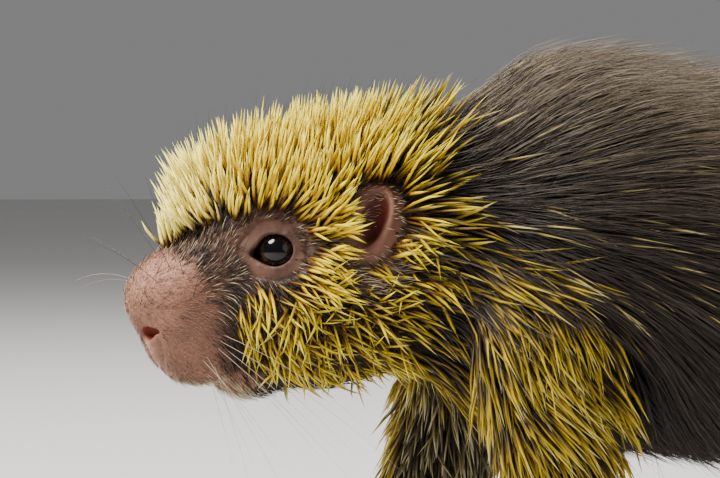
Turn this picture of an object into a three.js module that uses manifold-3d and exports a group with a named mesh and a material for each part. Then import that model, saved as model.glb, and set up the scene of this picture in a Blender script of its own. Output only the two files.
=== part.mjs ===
// A life-size black-tailed hairy dwarf porcupine, standing with its tail laid on the floor behind it.
// Millimetres, +Z up. The animal faces -Y, its left side is +X and the floor is Z = 0.
import * as THREE from "three";
import { mergeVertices } from "three/addons/utils/BufferGeometryUtils.js";
import Module from "manifold-3d";

const wasm = await Module();
wasm.setup();

// Driving dimensions
const gap = 0.3; // between nodes that touch
const noseTip = -165; // Y of the front of the nose
// Y and Z of the slanting cut behind the muzzle
const muzzleBack = { top: [-151, 118.5], bottom: [-126, 82] };
const headBack = -84; // Y where the head meets the neck
const neckBack = -62; // Y where the neck meets the forebody
const forebodyBack = 22; // Y where the forebody meets the hindbody
const rumpEnd = 131; // Y just behind the rump
const coreShare = 0.4; // share of the coat's height that is solid core
const eyeRadius = 6.2;
const lidThickness = 1.4;

// Flesh forms: centre and half sizes, mirrored where the centre's X isn't zero
const headForms = [
  { name: "cranium", at: [0, -106, 118], size: [23, 31, 26] },
  { name: "forehead", at: [0, -127, 120], size: [17.5, 18, 18.5] },
  { name: "cheek", at: [13, -109, 105], size: [13, 23, 18] },
  { name: "snout", at: [0, -136, 106], size: [14.5, 17, 17] },
  { name: "nose", at: [0, -150.5, 104], size: [13, 14.2, 12.5] },
  { name: "lip", at: [6, -145, 91.5], size: [8.5, 12, 10.5] },
];
const jawForms = [
  { name: "chin", at: [0, -132, 85.5], size: [8, 9.5, 8] },
  { name: "jaw", at: [0, -112, 91], size: [14, 20, 11] },
];
const bodyForms = [
  { name: "nape", at: [0, -84, 117], size: [27, 26, 30] },
  { name: "shoulders", at: [0, -45, 115], size: [35, 42, 43] },
  { name: "ribs", at: [0, -2, 109], size: [39, 52, 44] },
  { name: "belly", at: [0, 45, 102], size: [42, 54, 43] },
  { name: "rump", at: [0, 88, 91], size: [39, 42, 41] },
];
const headBlend = 9;
const bodyBlend = 14;
const bodyAxis = [
  [noseTip, 101.5],
  [-150, 100],
  [-128, 110],
  [-100, 116],
  [-50, 116],
  [0, 110],
  [50, 103],
  [rumpEnd, 92],
]; // Y and Z of the line inside the body from which the skin is measured

// Eyes, ears and nose, given for the left side
const eye = { at: [15.2, -123.4, 117.1], looks: [0.93, -0.34, 0.08], lidHalfWidth: 5.4, lidHalfHeight: 4.4 };
const ear = { at: [24, -98, 125.5], size: [6, 7.6, 10.4], cupShift: [3.6, -2.6, 1.2], wall: 1.6, tilt: -0.2 };
const nostril = { at: [7.4, -159.6, 95.6], size: [2.3, 3.4, 2.4] };

// Limbs, given as joints from the body to the foot, with half widths across and along the body
const limbs = {
  foreleg_left: {
    joints: [[18, -52, 112], [33, -52, 84], [37, -51, 60], [35, -54, 36], [33, -60, 8]],
    across: [15, 12, 10, 8.5, 8],
    along: [22, 16, 12, 10, 9],
    coat: [8, 8, 7, 4, 0.5],
    foot: { heel: [33, -51], length: 40, width: 22, height: 15, turn: 0.12 },
  },
  foreleg_right: {
    joints: [[-18, -48, 106], [-32, -57, 82], [-37, -65, 60], [-35, -75, 36], [-33, -84, 8]],
    across: [15, 12, 10, 8.5, 8],
    along: [20, 16, 12, 10, 9],
    coat: [8, 8, 7, 4, 0.5],
    foot: { heel: [-33, -75], length: 40, width: 22, height: 15, turn: -0.12 },
  },
  hindleg_left: {
    joints: [[20, 86, 94], [36, 70, 68], [42, 62, 48], [40, 75, 31], [38, 87, 9]],
    across: [18, 16, 12, 9.5, 9],
    along: [32, 24, 16, 11.5, 10],
    coat: [12, 12, 9, 5, 0.5],
    foot: { heel: [38, 96], length: 56, width: 26, height: 17, turn: 0.2 },
  },
  hindleg_right: {
    joints: [[-20, 84, 94], [-36, 62, 68], [-42, 50, 48], [-40, 60, 31], [-38, 70, 9]],
    across: [18, 16, 12, 9.5, 9],
    along: [32, 24, 16, 11.5, 10],
    coat: [12, 12, 9, 5, 0.5],
    foot: { heel: [-38, 79], length: 56, width: 26, height: 17, turn: -0.2 },
  },
};
const kneeRing = 5; // ring where the upper part of a limb meets the lower part
const claw = { length: 10, radius: 1.7, drop: 4.2 };

// Tail: centre line and half thickness, with its underside laid on the floor
const tail = {
  path: [[0, 100, 84], [0, 124, 72], [1, 144, 52], [4, 160, 32], [10, 182, 17], [20, 212, 10],
    [34, 240, 7], [54, 264, 5.8], [78, 280, 5], [100, 286, 4.6]],
  thickness: [19, 17, 14.5, 12.5, 10.5, 8.5, 7, 5.8, 5, 3.6],
  coat: [12, 11, 10, 9, 6.5, 3.5, 1.2, 0, 0, 0],
  splits: [0.4, 0.68],
};

// Coat: quills are thin spindles and locks are flat and tapered. Spacing is along and across the lie,
// and rise is how far a lock's tip stands off the level of its root.
const shoulderQuill = { quill: true, lift: [0.3, 0.36], radius: 1.2 };
const forelegQuill = { quill: true, spacing: [13.3, 10.7], length: [20, 26], lift: [0.26, 0.32], radius: 1.2 };
const coats = {
  head: { quill: true, spacing: [8.6, 8.4], length: [14, 19], lift: [0.45, 0.65], radius: 1.15 },
  neck: { quill: true, spacing: [12.5, 10.4], length: [22, 27], lift: [0.36, 0.45], radius: 1.2 },
  shoulder: { ...shoulderQuill, node: "forebody", spacing: [22, 16], length: [30, 38] },
  foreleg_left: { ...forelegQuill, node: "foreleg_left_upper" },
  foreleg_right: { ...forelegQuill, node: "foreleg_right_upper" },
  forebody: { spacing: [33, 19.5], length: [48, 56], rise: [8, 10], width: 23 },
  hindbody: { spacing: [31, 18], length: [48, 56], rise: [8, 10], width: 22 },
  hindleg_left_upper: { spacing: [28, 16], length: [34, 40], rise: [5, 7], width: 18 },
  hindleg_right_upper: { spacing: [28, 16], length: [34, 40], rise: [5, 7], width: 18 },
  tail_base: { spacing: [30, 18.5], length: [32, 38], rise: [5, 6.5], width: 18 },
  tail_middle: { spacing: [31, 16], length: [26, 30], rise: [2.5, 3.5], width: 13 },
};
const rootDepth = 2.2;
const lockThickness = 1.6;
const coatSeed = 11;

const skinPink = new THREE.MeshStandardMaterial({ color: 0xb58a78, roughness: 0.6, metalness: 0 });
const quillYellow = new THREE.MeshStandardMaterial({ color: 0xc9ac33, roughness: 0.45, metalness: 0 });
const darkFur = new THREE.MeshStandardMaterial({ color: 0x2a2320, roughness: 0.8, metalness: 0 });
const pawSkin = new THREE.MeshStandardMaterial({ color: 0x4a3a35, roughness: 0.7, metalness: 0 });
const clawHorn = new THREE.MeshStandardMaterial({ color: 0x6b5a4a, roughness: 0.35, metalness: 0 });
const eyeDark = new THREE.MeshStandardMaterial({ color: 0x120d0a, roughness: 0.05, metalness: 0 });

// Distance fields
const point = (x, y, z) => new THREE.Vector3(x, y, z);
const lerp = THREE.MathUtils.lerp;

function ellipsoidDistance(p, { at, size }) {
  const x = (at[0] ? Math.abs(p.x) : p.x) - at[0];
  const y = p.y - at[1];
  const z = p.z - at[2];
  const near = Math.hypot(x / size[0], y / size[1], z / size[2]);
  const slope = Math.hypot(x / size[0] ** 2, y / size[1] ** 2, z / size[2] ** 2);
  return slope > 0 ? (near * (near - 1)) / slope : -Math.min(...size);
}

function smoothMin(a, b, blend) {
  const h = Math.max(blend - Math.abs(a - b), 0) / blend;
  return Math.min(a, b) - (h * h * blend) / 4;
}

const joined = (p, forms, blend) =>
  forms.map((form) => ellipsoidDistance(p, form)).reduce((a, b) => smoothMin(a, b, blend));
const headField = (p) => joined(p, headForms, headBlend);
const trunkField = (p) => smoothMin(joined(p, bodyForms, bodyBlend), headField(p), bodyBlend);
const jawField = (p) => joined(p, jawForms, headBlend);

const smoothstep = THREE.MathUtils.smoothstep;

// How far the coat stands off the skin of the trunk, at a point of the skin
function coatDepth(p) {
  const crown = smoothstep(p.y - 0.7 * Math.max(0, 118 - p.z), -153, -143);
  const body = smoothstep(p.y, -100, -50);
  const top = smoothstep(p.z, 62, 90);
  const inward = (x) => Math.min(0, Math.abs(p.x) - x) / 6;
  const besideEye = Math.hypot((p.y - eye.at[1]) / 12, (p.z - eye.at[2]) / 10, inward(14));
  const besideEar = Math.hypot((p.y - ear.at[1]) / 10.5, (p.z - ear.at[2]) / 15, inward(18));
  const clear = smoothstep(besideEye, 0.8, 2.1) * smoothstep(besideEar, 0.8, 1.9);
  return clear * crown * lerp(12, lerp(7, 17, top), body);
}
const coreDepth = (p) => coreShare * coatDepth(p);

// Solids
function solidOf(geometry) {
  const bare = geometry.index ? geometry.toNonIndexed() : geometry.clone();
  const merged = mergeVertices(
    new THREE.BufferGeometry().setAttribute("position", bare.getAttribute("position")),
    1e-4,
  );
  return new wasm.Manifold(
    new wasm.Mesh({
      numProp: 3,
      vertProperties: merged.attributes.position.array,
      triVerts: new Uint32Array(merged.index.array),
    }),
  );
}

function geometryOf(solid) {
  const mesh = solid.getMesh();
  const geometry = new THREE.BufferGeometry();
  geometry.setAttribute("position", new THREE.BufferAttribute(new Float32Array(mesh.vertProperties), 3));
  geometry.setIndex(new THREE.BufferAttribute(new Uint32Array(mesh.triVerts), 1));
  return geometry;
}

const largest = (solid) => solid.decompose().sort((a, b) => b.volume() - a.volume())[0];

// A closed skin over rings of points, with a point or a flat cap at each end
function loft(rings, startPoint, endPoint) {
  const count = rings[0].length;
  const points = [...rings.flat(), startPoint, endPoint];
  const start = points.length - 2;
  const end = points.length - 1;
  const faces = [];
  for (let r = 0; r < rings.length - 1; r++) {
    for (let i = 0; i < count; i++) {
      const next = (i + 1) % count;
      const a = r * count + i;
      const b = r * count + next;
      faces.push(a, b, a + count, b, b + count, a + count);
    }
  }
  const last = (rings.length - 1) * count;
  for (let i = 0; i < count; i++) {
    const next = (i + 1) % count;
    faces.push(start, next, i);
    faces.push(end, last + i, last + next);
  }
  const geometry = new THREE.BufferGeometry().setFromPoints(points);
  if (windingVolume(points, faces) < 0) faces.reverse();
  geometry.setIndex(faces);
  return geometry;
}

function windingVolume(points, faces) {
  let sum = 0;
  for (let i = 0; i < faces.length; i += 3) {
    const [a, b, c] = [points[faces[i]], points[faces[i + 1]], points[faces[i + 2]]];
    sum += a.dot(b.clone().cross(c));
  }
  return sum;
}

const middleOf = (ring) =>
  ring.reduce((sum, p) => sum.add(p), point(0, 0, 0)).multiplyScalar(1 / ring.length);

function axisHeight(y) {
  const i = Math.max(1, bodyAxis.findIndex(([stationY]) => stationY >= y));
  const [[y0, z0], [y1, z1]] = [bodyAxis[i - 1], bodyAxis[i]];
  return lerp(z0, z1, THREE.MathUtils.clamp((y - y0) / (y1 - y0), 0, 1));
}

function spoke(turn, lean) {
  const angle = 2 * Math.PI * turn;
  return point(Math.sin(angle) * Math.cos(lean), Math.sin(lean), Math.cos(angle) * Math.cos(lean));
}

// Walks from inside out to where the field reaches the wanted depth
function reach(field, from, direction, depth) {
  const at = (r) => from.clone().addScaledVector(direction, r);
  const wanted = typeof depth === "function" ? depth(reach(field, from, direction, 0)) : depth;
  const excess = (r) => field(at(r)) - wanted;
  let near = 0;
  let far = 1.5;
  while (excess(far) < 0) {
    near = far;
    far += 1.5;
  }
  for (let i = 0; i < 18; i++) {
    const middle = (near + far) / 2;
    if (excess(middle) < 0) near = middle;
    else far = middle;
  }
  return at(far);
}

// A ring round the trunk from a centre at Y, leaning towards the rump, or the nose where the lean is below zero
function trunkRing(field, [y, lean], sectors, depth) {
  const centre = point(0, y, axisHeight(y));
  return Array.from({ length: sectors }, (_, i) => reach(field, centre, spoke(i / sectors, lean), depth));
}

// Part of the trunk between two Y planes, or rounded off to a point at the nose or the rump
function trunkPart(field, stations, sectors, depth) {
  const rings = stations.map((station) => trunkRing(field, station, sectors, depth));
  const endPoint = ([y, lean], ring) =>
    lean ? reach(field, point(0, y, axisHeight(y)), point(0, Math.sign(lean), 0), depth) : middleOf(ring);
  const [start, end] = [0, stations.length - 1].map((i) => endPoint(stations[i], rings[i]));
  return solidOf(loft(rings, start, end));
}

const evenly = (from, to, steps) => Array.from({ length: steps + 1 }, (_, i) => lerp(from, to, i / steps));
const upright = (from, to, steps) => evenly(from, to, steps).map((y) => [y, 0]);
const leaning = (y, leans) => leans.map((lean) => [y, lean]);

const placedSphere = (at, size, across, down) =>
  new THREE.SphereGeometry(1, across, down).scale(...size).translate(...at);
const mirrored = (at, side) => [at[0] * side, at[1], at[2]];
const floorBlock = solidOf(new THREE.BoxGeometry(900, 900, 100).translate(0, 0, -50));

const slopeStep = 0.5;
function outward(field, p) {
  const slope = (x, y, z) => field(p.clone().add(point(x, y, z))) - field(p.clone().sub(point(x, y, z)));
  return point(slope(slopeStep, 0, 0), slope(0, slopeStep, 0), slope(0, 0, slopeStep)).normalize();
}

// Distance from the skin of a limb or the tail, and the lie of the coat along it
function tubeGuide(rings) {
  const middles = rings.map(middleOf);
  const sizeOf = (ring, middle) => ring.reduce((sum, p) => sum + p.distanceTo(middle), 0) / ring.length;
  const sizes = rings.map((ring, i) => sizeOf(ring, middles[i]));
  const nearest = (p) => {
    let best = { distance: Infinity };
    for (let i = 0; i < middles.length - 1; i++) {
      const span = middles[i + 1].clone().sub(middles[i]);
      const t = THREE.MathUtils.clamp(p.clone().sub(middles[i]).dot(span) / span.lengthSq(), 0, 1);
      const distance = middles[i].clone().addScaledVector(span, t).distanceTo(p);
      if (distance < best.distance) best = { distance, span, size: lerp(sizes[i], sizes[i + 1], t) };
    }
    return best;
  };
  const field = (p) => {
    const { distance, size } = nearest(p);
    return distance - size;
  };
  return { field, lie: (p) => nearest(p).span.clone().normalize() };
}

const nodes = new Map();
const guides = new Map();
const addNode = (name, solid, material) => nodes.set(name, { solid: largest(solid), material });

// Trunk: head with muzzle, neck, forebody and hindbody, parted by thin cuts
const trunkStations = {
  head: [...leaning(-151, [-1.3, -1, -0.7, -0.42, -0.2]), ...upright(-151, headBack - gap / 2, 16)],
  neck: upright(headBack + gap / 2, neckBack - gap / 2, 3),
  forebody: upright(neckBack + gap / 2, forebodyBack - gap / 2, 7),
  hindbody: [...upright(forebodyBack + gap / 2, 92, 5), ...leaning(92, [0.22, 0.48, 0.76, 1.05, 1.33])],
};
const sectors = 26;
let head = trunkPart(trunkField, trunkStations.head, sectors, coreDepth);
const neck = trunkPart(trunkField, trunkStations.neck, sectors, coreDepth);
const forebody = trunkPart(trunkField, trunkStations.forebody, sectors, coreDepth);
const hindbody = trunkPart(trunkField, trunkStations.hindbody, sectors, coreDepth);

// The same trunk grown by the gap, to cut what grows from it
const grownStations = Object.values(trunkStations).flat();
const grownTrunk = trunkPart(trunkField, grownStations, sectors, (p) => coreDepth(p) + gap);

// Thin slab that parts the muzzle from the head
const { top: cutTop, bottom: cutBottom } = muzzleBack;
const cutLength = Math.hypot(cutTop[0] - cutBottom[0], cutTop[1] - cutBottom[1]);
const muzzleCut = new THREE.BoxGeometry(90, gap, cutLength + 34)
  .rotateX(Math.atan2(cutBottom[0] - cutTop[0], cutTop[1] - cutBottom[1]))
  .translate(0, (cutTop[0] + cutBottom[0]) / 2, (cutTop[1] + cutBottom[1]) / 2);

// Eyes in their lids
const eyeLooks = (side) => point(eye.looks[0] * side, eye.looks[1], eye.looks[2]).normalize();
for (const [name, side] of [["left", 1], ["right", -1]]) {
  const at = mirrored(eye.at, side);
  const looks = eyeLooks(side);
  const turn = new THREE.Quaternion().setFromUnitVectors(point(0, 0, 1), looks);
  const lidOpening = new THREE.SphereGeometry(1, 12, 8)
    .scale(eye.lidHalfHeight, eye.lidHalfWidth, 9)
    .applyQuaternion(turn)
    .translate(at[0] + looks.x * 7, at[1] + looks.y * 7, at[2] + looks.z * 7);
  const ball = (radius) => solidOf(placedSphere(at, [radius, radius, radius], 12, 8));
  head = head.add(ball(eyeRadius + lidThickness)).subtract(solidOf(lidOpening)).subtract(ball(eyeRadius + gap));
  addNode("eye_" + name, ball(eyeRadius), eyeDark);
}

// Muzzle with its nostrils
let [muzzle, skull] = head
  .subtract(solidOf(muzzleCut))
  .decompose()
  .sort((a, b) => a.boundingBox().min[1] - b.boundingBox().min[1]);
for (const side of [1, -1]) {
  muzzle = muzzle.subtract(solidOf(placedSphere(mirrored(nostril.at, side), nostril.size, 8, 6)));
}

// Ears: shallow cups that open forwards and outwards
for (const [name, side] of [["left", 1], ["right", -1]]) {
  const shell = (shift, wall) =>
    solidOf(
      new THREE.SphereGeometry(1, 12, 7)
        .scale(ear.size[0] - wall, ear.size[1] - wall, ear.size[2] - wall)
        .rotateX(ear.tilt)
        .translate(shift[0], shift[1], shift[2])
        .translate(...ear.at),
    );
  let cup = shell([0, 0, 0], 0).subtract(shell(ear.cupShift, ear.wall));
  if (side < 0) cup = cup.mirror([1, 0, 0]);
  addNode("ear_" + name, cup.subtract(grownTrunk), skinPink);
}

// Lower jaw under the muzzle and head
const jawAxis = (y) => lerp(84.5, 90, smoothstep(y, -133, -112));
const jawRings = [-1.25, -0.9, -0.5, 0, ...Array(6).fill(0)].map((lean, i) => {
  const y = lean || i < 4 ? -133 : -133 + (i - 3) * 6;
  const centre = point(0, y, jawAxis(y));
  return Array.from({ length: 16 }, (_, k) => reach(jawField, centre, spoke(k / 16, lean), 0));
});
const jawTip = reach(jawField, point(0, -133, jawAxis(-133)), point(0, -1, 0), 0);
const jaw = solidOf(loft(jawRings, jawTip, middleOf(jawRings.at(-1))));

addNode("muzzle", muzzle, skinPink);
addNode("lower_jaw", jaw.subtract(grownTrunk), skinPink);
addNode("neck", neck, quillYellow);
addNode("forebody", forebody, darkFur);

// A tube through rings round a curved centre line
function tubeRings(joints, across, along, ringCount, sectors) {
  const curve = new THREE.CatmullRomCurve3(joints.map((j) => point(...j)));
  const widthAt = (list, t) => {
    const place = t * (list.length - 1);
    const i = Math.min(list.length - 2, Math.floor(place));
    return lerp(list[i], list[i + 1], place - i);
  };
  return Array.from({ length: ringCount }, (_, r) => {
    const t = r / (ringCount - 1);
    const centre = curve.getPoint(t);
    const tangent = curve.getTangent(t);
    const side = point(1, 0, 0).addScaledVector(tangent, -tangent.x).normalize();
    const front = tangent.clone().cross(side);
    return Array.from({ length: sectors }, (_, i) => {
      const angle = (2 * Math.PI * i) / sectors;
      return centre
        .clone()
        .addScaledVector(side, widthAt(across, t) * Math.cos(angle))
        .addScaledVector(front, widthAt(along, t) * Math.sin(angle));
    });
  });
}

const tube = (rings) => solidOf(loft(rings, middleOf(rings[0]), middleOf(rings.at(-1))));
const shifted = (ring, direction, distance) => ring.map((p) => p.clone().addScaledVector(direction, distance));

// A foot with four toes, grown by a margin where it cuts the leg above it
function footParts({ heel, length, width, height, turn }, side, grow = 0) {
  const place = (geometry) => solidOf(geometry.rotateZ(turn * -1).translate(heel[0], heel[1], 0));
  const sole = placedSphere(
    [0, -length * 0.36, height * 0.36],
    [width / 2 + grow, length * 0.42 + grow, height * 0.62 + grow],
    10,
    7,
  );
  const toeRadius = width * 0.135;
  const toes = [0, 1, 2, 3].map((i) => {
    const spread = (i - 1.5) / 1.5;
    const reachOut = length * (0.97 - 0.07 * Math.abs(spread + 0.2 * side));
    const root = [spread * width * 0.3, -length * 0.5, height * 0.32];
    const tip = [spread * width * 0.5, -reachOut + toeRadius, toeRadius * 0.85];
    return { root, tip, radius: toeRadius + grow };
  });
  let foot = place(sole);
  for (const toe of toes) {
    const widths = [toe.radius * 1.1, toe.radius];
    const rings = tubeRings([toe.root, toe.tip], widths, widths, 2, 6);
    const forward = point(...toe.tip).sub(point(...toe.root)).normalize();
    const end = point(...toe.tip).addScaledVector(forward, toe.radius * 0.7);
    foot = foot.add(place(loft(rings, middleOf(rings[0]), end)));
  }
  return { solid: foot.subtract(floorBlock), toes, place };
}

// A curved, tapering claw that starts inside its toe
function clawGeometry({ root, tip, radius }) {
  const forward = point(...tip).sub(point(...root)).setZ(0).normalize();
  const rings = [0, 0.5].map((t) => {
    const centre = point(...tip)
      .addScaledVector(forward, radius * 0.2 + claw.length * t)
      .add(point(0, 0, radius * 0.5 - claw.drop * t * t * 0.55));
    const size = claw.radius * (1 - 0.7 * t);
    const side = forward.clone().cross(point(0, 0, 1));
    return Array.from({ length: 5 }, (_, i) => {
      const angle = (2 * Math.PI * i) / 5;
      return centre
        .clone()
        .addScaledVector(side, size * 0.7 * Math.cos(angle))
        .add(point(0, 0, size * Math.sin(angle)));
    });
  });
  const end = point(...tip)
    .addScaledVector(forward, radius * 0.2 + claw.length)
    .add(point(0, 0, radius * 0.5 - claw.drop * 0.55));
  return loft(rings, middleOf(rings[0]), end);
}

for (const [name, limb] of Object.entries(limbs)) {
  const side = name.endsWith("left") ? 1 : -1;
  const hind = name.startsWith("hind");
  const foot = footParts(limb.foot, side);
  const grownFoot = footParts(limb.foot, side, gap).solid;
  const withCoat = (list) => list.map((width, i) => width + coreShare * limb.coat[i]);
  const rings = tubeRings(limb.joints, withCoat(limb.across), withCoat(limb.along), 10, 12);
  const along = middleOf(rings[kneeRing]).sub(middleOf(rings[kneeRing - 1])).normalize();
  guides.set(name + "_upper", tubeGuide(rings));
  const upper = tube(rings.slice(0, kneeRing + 1));
  const lower = tube([shifted(rings[kneeRing], along, gap), ...rings.slice(kneeRing + 1)]);
  const upperSolid = upper.subtract(grownTrunk);
  addNode(name + "_upper", upperSolid, hind ? darkFur : quillYellow);
  addNode(name + "_lower", lower.subtract(grownFoot).subtract(grownTrunk), darkFur);
  addNode(name.replace("leg", "foot"), foot.solid, pawSkin);
  foot.toes.forEach((toe, i) => {
    const horn = foot.place(clawGeometry(toe)).subtract(grownFoot).subtract(floorBlock);
    addNode(`claw_${name.replace("leg", "foot")}_${i + 1}`, horn, clawHorn);
  });
}

// Tail in three lengths
function tailRings(ringCount = 26, sectors = 10) {
  const curve = new THREE.CatmullRomCurve3(tail.path.map((p) => point(...p)));
  const frames = curve.computeFrenetFrames(ringCount - 1, false);
  return Array.from({ length: ringCount }, (_, r) => {
    const t = r / (ringCount - 1);
    const place = t * (tail.thickness.length - 1);
    const i = Math.min(tail.thickness.length - 2, Math.floor(place));
    const at = (list) => lerp(list[i], list[i + 1], place - i);
    const size = at(tail.thickness) + coreShare * at(tail.coat);
    const centre = curve.getPointAt(t);
    return Array.from({ length: sectors }, (_, k) => {
      const angle = (2 * Math.PI * k) / sectors;
      const p = centre
        .clone()
        .addScaledVector(frames.normals[r], size * Math.cos(angle))
        .addScaledVector(frames.binormals[r], size * Math.sin(angle));
      return p.setZ(Math.max(0, p.z));
    });
  });
}
const allTailRings = tailRings();
const tailGuide = tubeGuide(allTailRings);
const tailNames = ["tail_base", "tail_middle", "tail_tip"];
const lastTailRing = allTailRings.length - 1;
const tailCuts = [0, ...tail.splits.map((t) => Math.round(t * lastTailRing)), lastTailRing];
tailNames.forEach((name, i) => {
  const rings = allTailRings.slice(tailCuts[i], tailCuts[i + 1] + 1);
  const along = middleOf(rings[1]).sub(middleOf(rings[0])).normalize();
  if (i > 0) rings[0] = shifted(rings[0], along, gap);
  const end = middleOf(rings.at(-1));
  if (i === 2) end.addScaledVector(end.clone().sub(middleOf(rings.at(-2))).normalize(), 3);
  const solid = solidOf(loft(rings, middleOf(rings[0]), end));
  guides.set(name, tailGuide);
  addNode(name, solid.subtract(grownTrunk).subtract(floorBlock), i < 2 ? darkFur : pawSkin);
});

addNode("head", skull, quillYellow);
addNode("hindbody", hindbody, darkFur);

// Coat
const random = (() => {
  let state = coatSeed;
  return () => {
    state = (state + 0x6d2b79f5) | 0;
    let t = Math.imul(state ^ (state >>> 15), 1 | state);
    t = (t + Math.imul(t ^ (t >>> 7), 61 | t)) ^ t;
    return ((t ^ (t >>> 14)) >>> 0) / 4294967296;
  };
})();
const between = ([low, high]) => lerp(low, high, random());

// Over the trunk the coat runs back, and more and more down towards the flanks
const trunkGuide = {
  field: trunkField,
  lie: (p, normal) => point(0, 1, -0.12 - 0.5 * Math.abs(normal.x)),
};

// Where each kind of quill or lock grows on its node
const grows = {
  head: (at) => coatDepth(at) > 5,
  shoulder: (at) => at.z > 78 && random() < smoothstep(22 - at.y, 0, 50),
  forebody: (at) => at.y > -52,
};

function spreadOver(solid, spacing) {
  const mesh = solid.getMesh();
  const corner = (i) => point(...mesh.vertProperties.subarray(3 * i, 3 * i + 3));
  const found = [];
  for (let f = 0; f < mesh.triVerts.length; f += 3) {
    const [a, b, c] = [0, 1, 2].map((k) => corner(mesh.triVerts[f + k]));
    const cross = b.clone().sub(a).cross(c.clone().sub(a));
    const wanted = cross.length() / 2 / spacing ** 2;
    const count = Math.floor(wanted) + (random() < wanted % 1 ? 1 : 0);
    for (let n = 0; n < count; n++) {
      const [u, v] = [random(), random()];
      const [s, t] = u + v > 1 ? [1 - u, 1 - v] : [u, v];
      const at = a.clone().multiplyScalar(1 - s - t).addScaledVector(b, s).addScaledVector(c, t);
      found.push({ at, faces: cross.clone().normalize(), order: random() });
    }
  }
  return found.sort((one, other) => one.order - other.order);
}

// A centre line that follows the skin and rises from its root
function lockLine(root, guide, length, rise, sway, steps = 4) {
  const base = guide.field(root);
  const line = [];
  const p = root.clone();
  for (let i = 0; i <= steps; i++) {
    const normal = outward(guide.field, p);
    const lie = guide.lie(p, normal);
    lie.addScaledVector(normal, -lie.dot(normal)).normalize();
    const side = lie.clone().cross(normal);
    lie.addScaledVector(side, sway).normalize();
    const height = (rise * i) / steps - (i === 0 ? rootDepth : 0);
    line.push({ at: p.clone().addScaledVector(normal, base + height - guide.field(p)), normal, side });
    p.addScaledVector(lie, length / steps);
  }
  return line;
}

function lockForm(line, width, margin = 0) {
  const rings = [0.8, 1, 0.95, 0.6].map((share, i) => {
    const { at, normal, side } = line[i];
    const thick = lockThickness * (i < 3 ? 0.5 : 0.35) + margin;
    const half = (width * share) / 2 + margin;
    return [[1, 0], [0, 1], [-1, 0], [0, -1]].map(([across, up]) =>
      at.clone().addScaledVector(side, across * half).addScaledVector(normal, up * thick),
    );
  });
  const tip = line.at(-1).at.clone();
  const forward = tip.clone().sub(line.at(-2).at).normalize();
  return solidOf(loft(rings, middleOf(rings[0]), tip.addScaledVector(forward, margin)));
}

function quillForm(root, direction, length, radius, margin = 0) {
  const side = direction.clone().cross(point(0, 0.3, 1)).normalize();
  const other = direction.clone().cross(side);
  const ring = (t, size) =>
    [0, 1, 2].map((i) =>
      root
        .clone()
        .addScaledVector(direction, t)
        .addScaledVector(side, size * Math.cos((2 * Math.PI * i) / 3))
        .addScaledVector(other, size * Math.sin((2 * Math.PI * i) / 3)),
    );
  const rings = [ring(-rootDepth, radius * 0.7 + margin), ring(length * 0.4, radius + margin)];
  return solidOf(loft(rings, middleOf(rings[0]), root.clone().addScaledVector(direction, length + margin)));
}

// Beads along a quill or over a lock tell how near others of the same node come
const beads = new Map();
const beadCell = 5;
const cellOf = (p) => [p.x, p.y, p.z].map((v) => Math.floor(v / beadCell));
function nearBead(owner, { centre, radius }) {
  const [i, j, k] = cellOf(centre);
  const around = [-1, 0, 1];
  return around.some((a) => around.some((b) => around.some((c) =>
    (beads.get([owner, i + a, j + b, k + c].join()) ?? []).some((bead) =>
      bead.centre.distanceTo(centre) < radius + bead.radius))));
}
function addBead(owner, bead) {
  const key = [owner, ...cellOf(bead.centre)].join();
  beads.set(key, [...(beads.get(key) ?? []), bead]);
}
const quillBeads = (root, direction, length, radius) =>
  [0.25, 0.4, 0.55, 0.7, 0.85, 1].map((t) => ({
    centre: root.clone().addScaledVector(direction, t * length),
    radius: lerp(radius + 0.3, 0.4, t),
  }));
const lockBeads = (line, width) =>
  evenly(0.28, 1, 12).flatMap((t) => {
    const place = t * (line.length - 1);
    const i = Math.min(line.length - 2, Math.floor(place));
    const centre = line[i].at.clone().lerp(line[i + 1].at, place - i);
    return [-0.45, -0.22, 0, 0.22, 0.45].map((across) => ({
      centre: centre.clone().addScaledVector(line[i].side, across * width * Math.min(1, 2.4 * (1 - t))),
      radius: 1.25,
    }));
  });

// What the coat keeps clear of: every node, and the space before each eye and ear
const inPlace = [...nodes].map(([name, { solid }]) => ({ name, solid, box: solid.boundingBox() }));
for (const side of [1, -1]) {
  const beforeEye = point(...mirrored(eye.at, side)).addScaledVector(eyeLooks(side), 9);
  const beforeEar = point(...mirrored(ear.at, side)).add(point(...mirrored(ear.cupShift, side)).setLength(8));
  for (const [at, size] of [[beforeEye, [11, 11, 10]], [beforeEar, [9, 9, 13]]]) {
    const solid = solidOf(placedSphere(at.toArray(), size, 10, 6));
    inPlace.push({ name: "open_space", solid, box: solid.boundingBox() });
  }
}
const boxesMeet = (a, b) => [0, 1, 2].every((i) => a.min[i] <= b.max[i] && b.min[i] <= a.max[i]);
const meetsOther = (owner, solid) => {
  const box = solid.boundingBox();
  const meets = (other) => boxesMeet(box, other.box) && !solid.intersect(other.solid).isEmpty();
  return box.min[2] < gap || inPlace.some((other) => other.name !== owner && meets(other));
};

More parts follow.
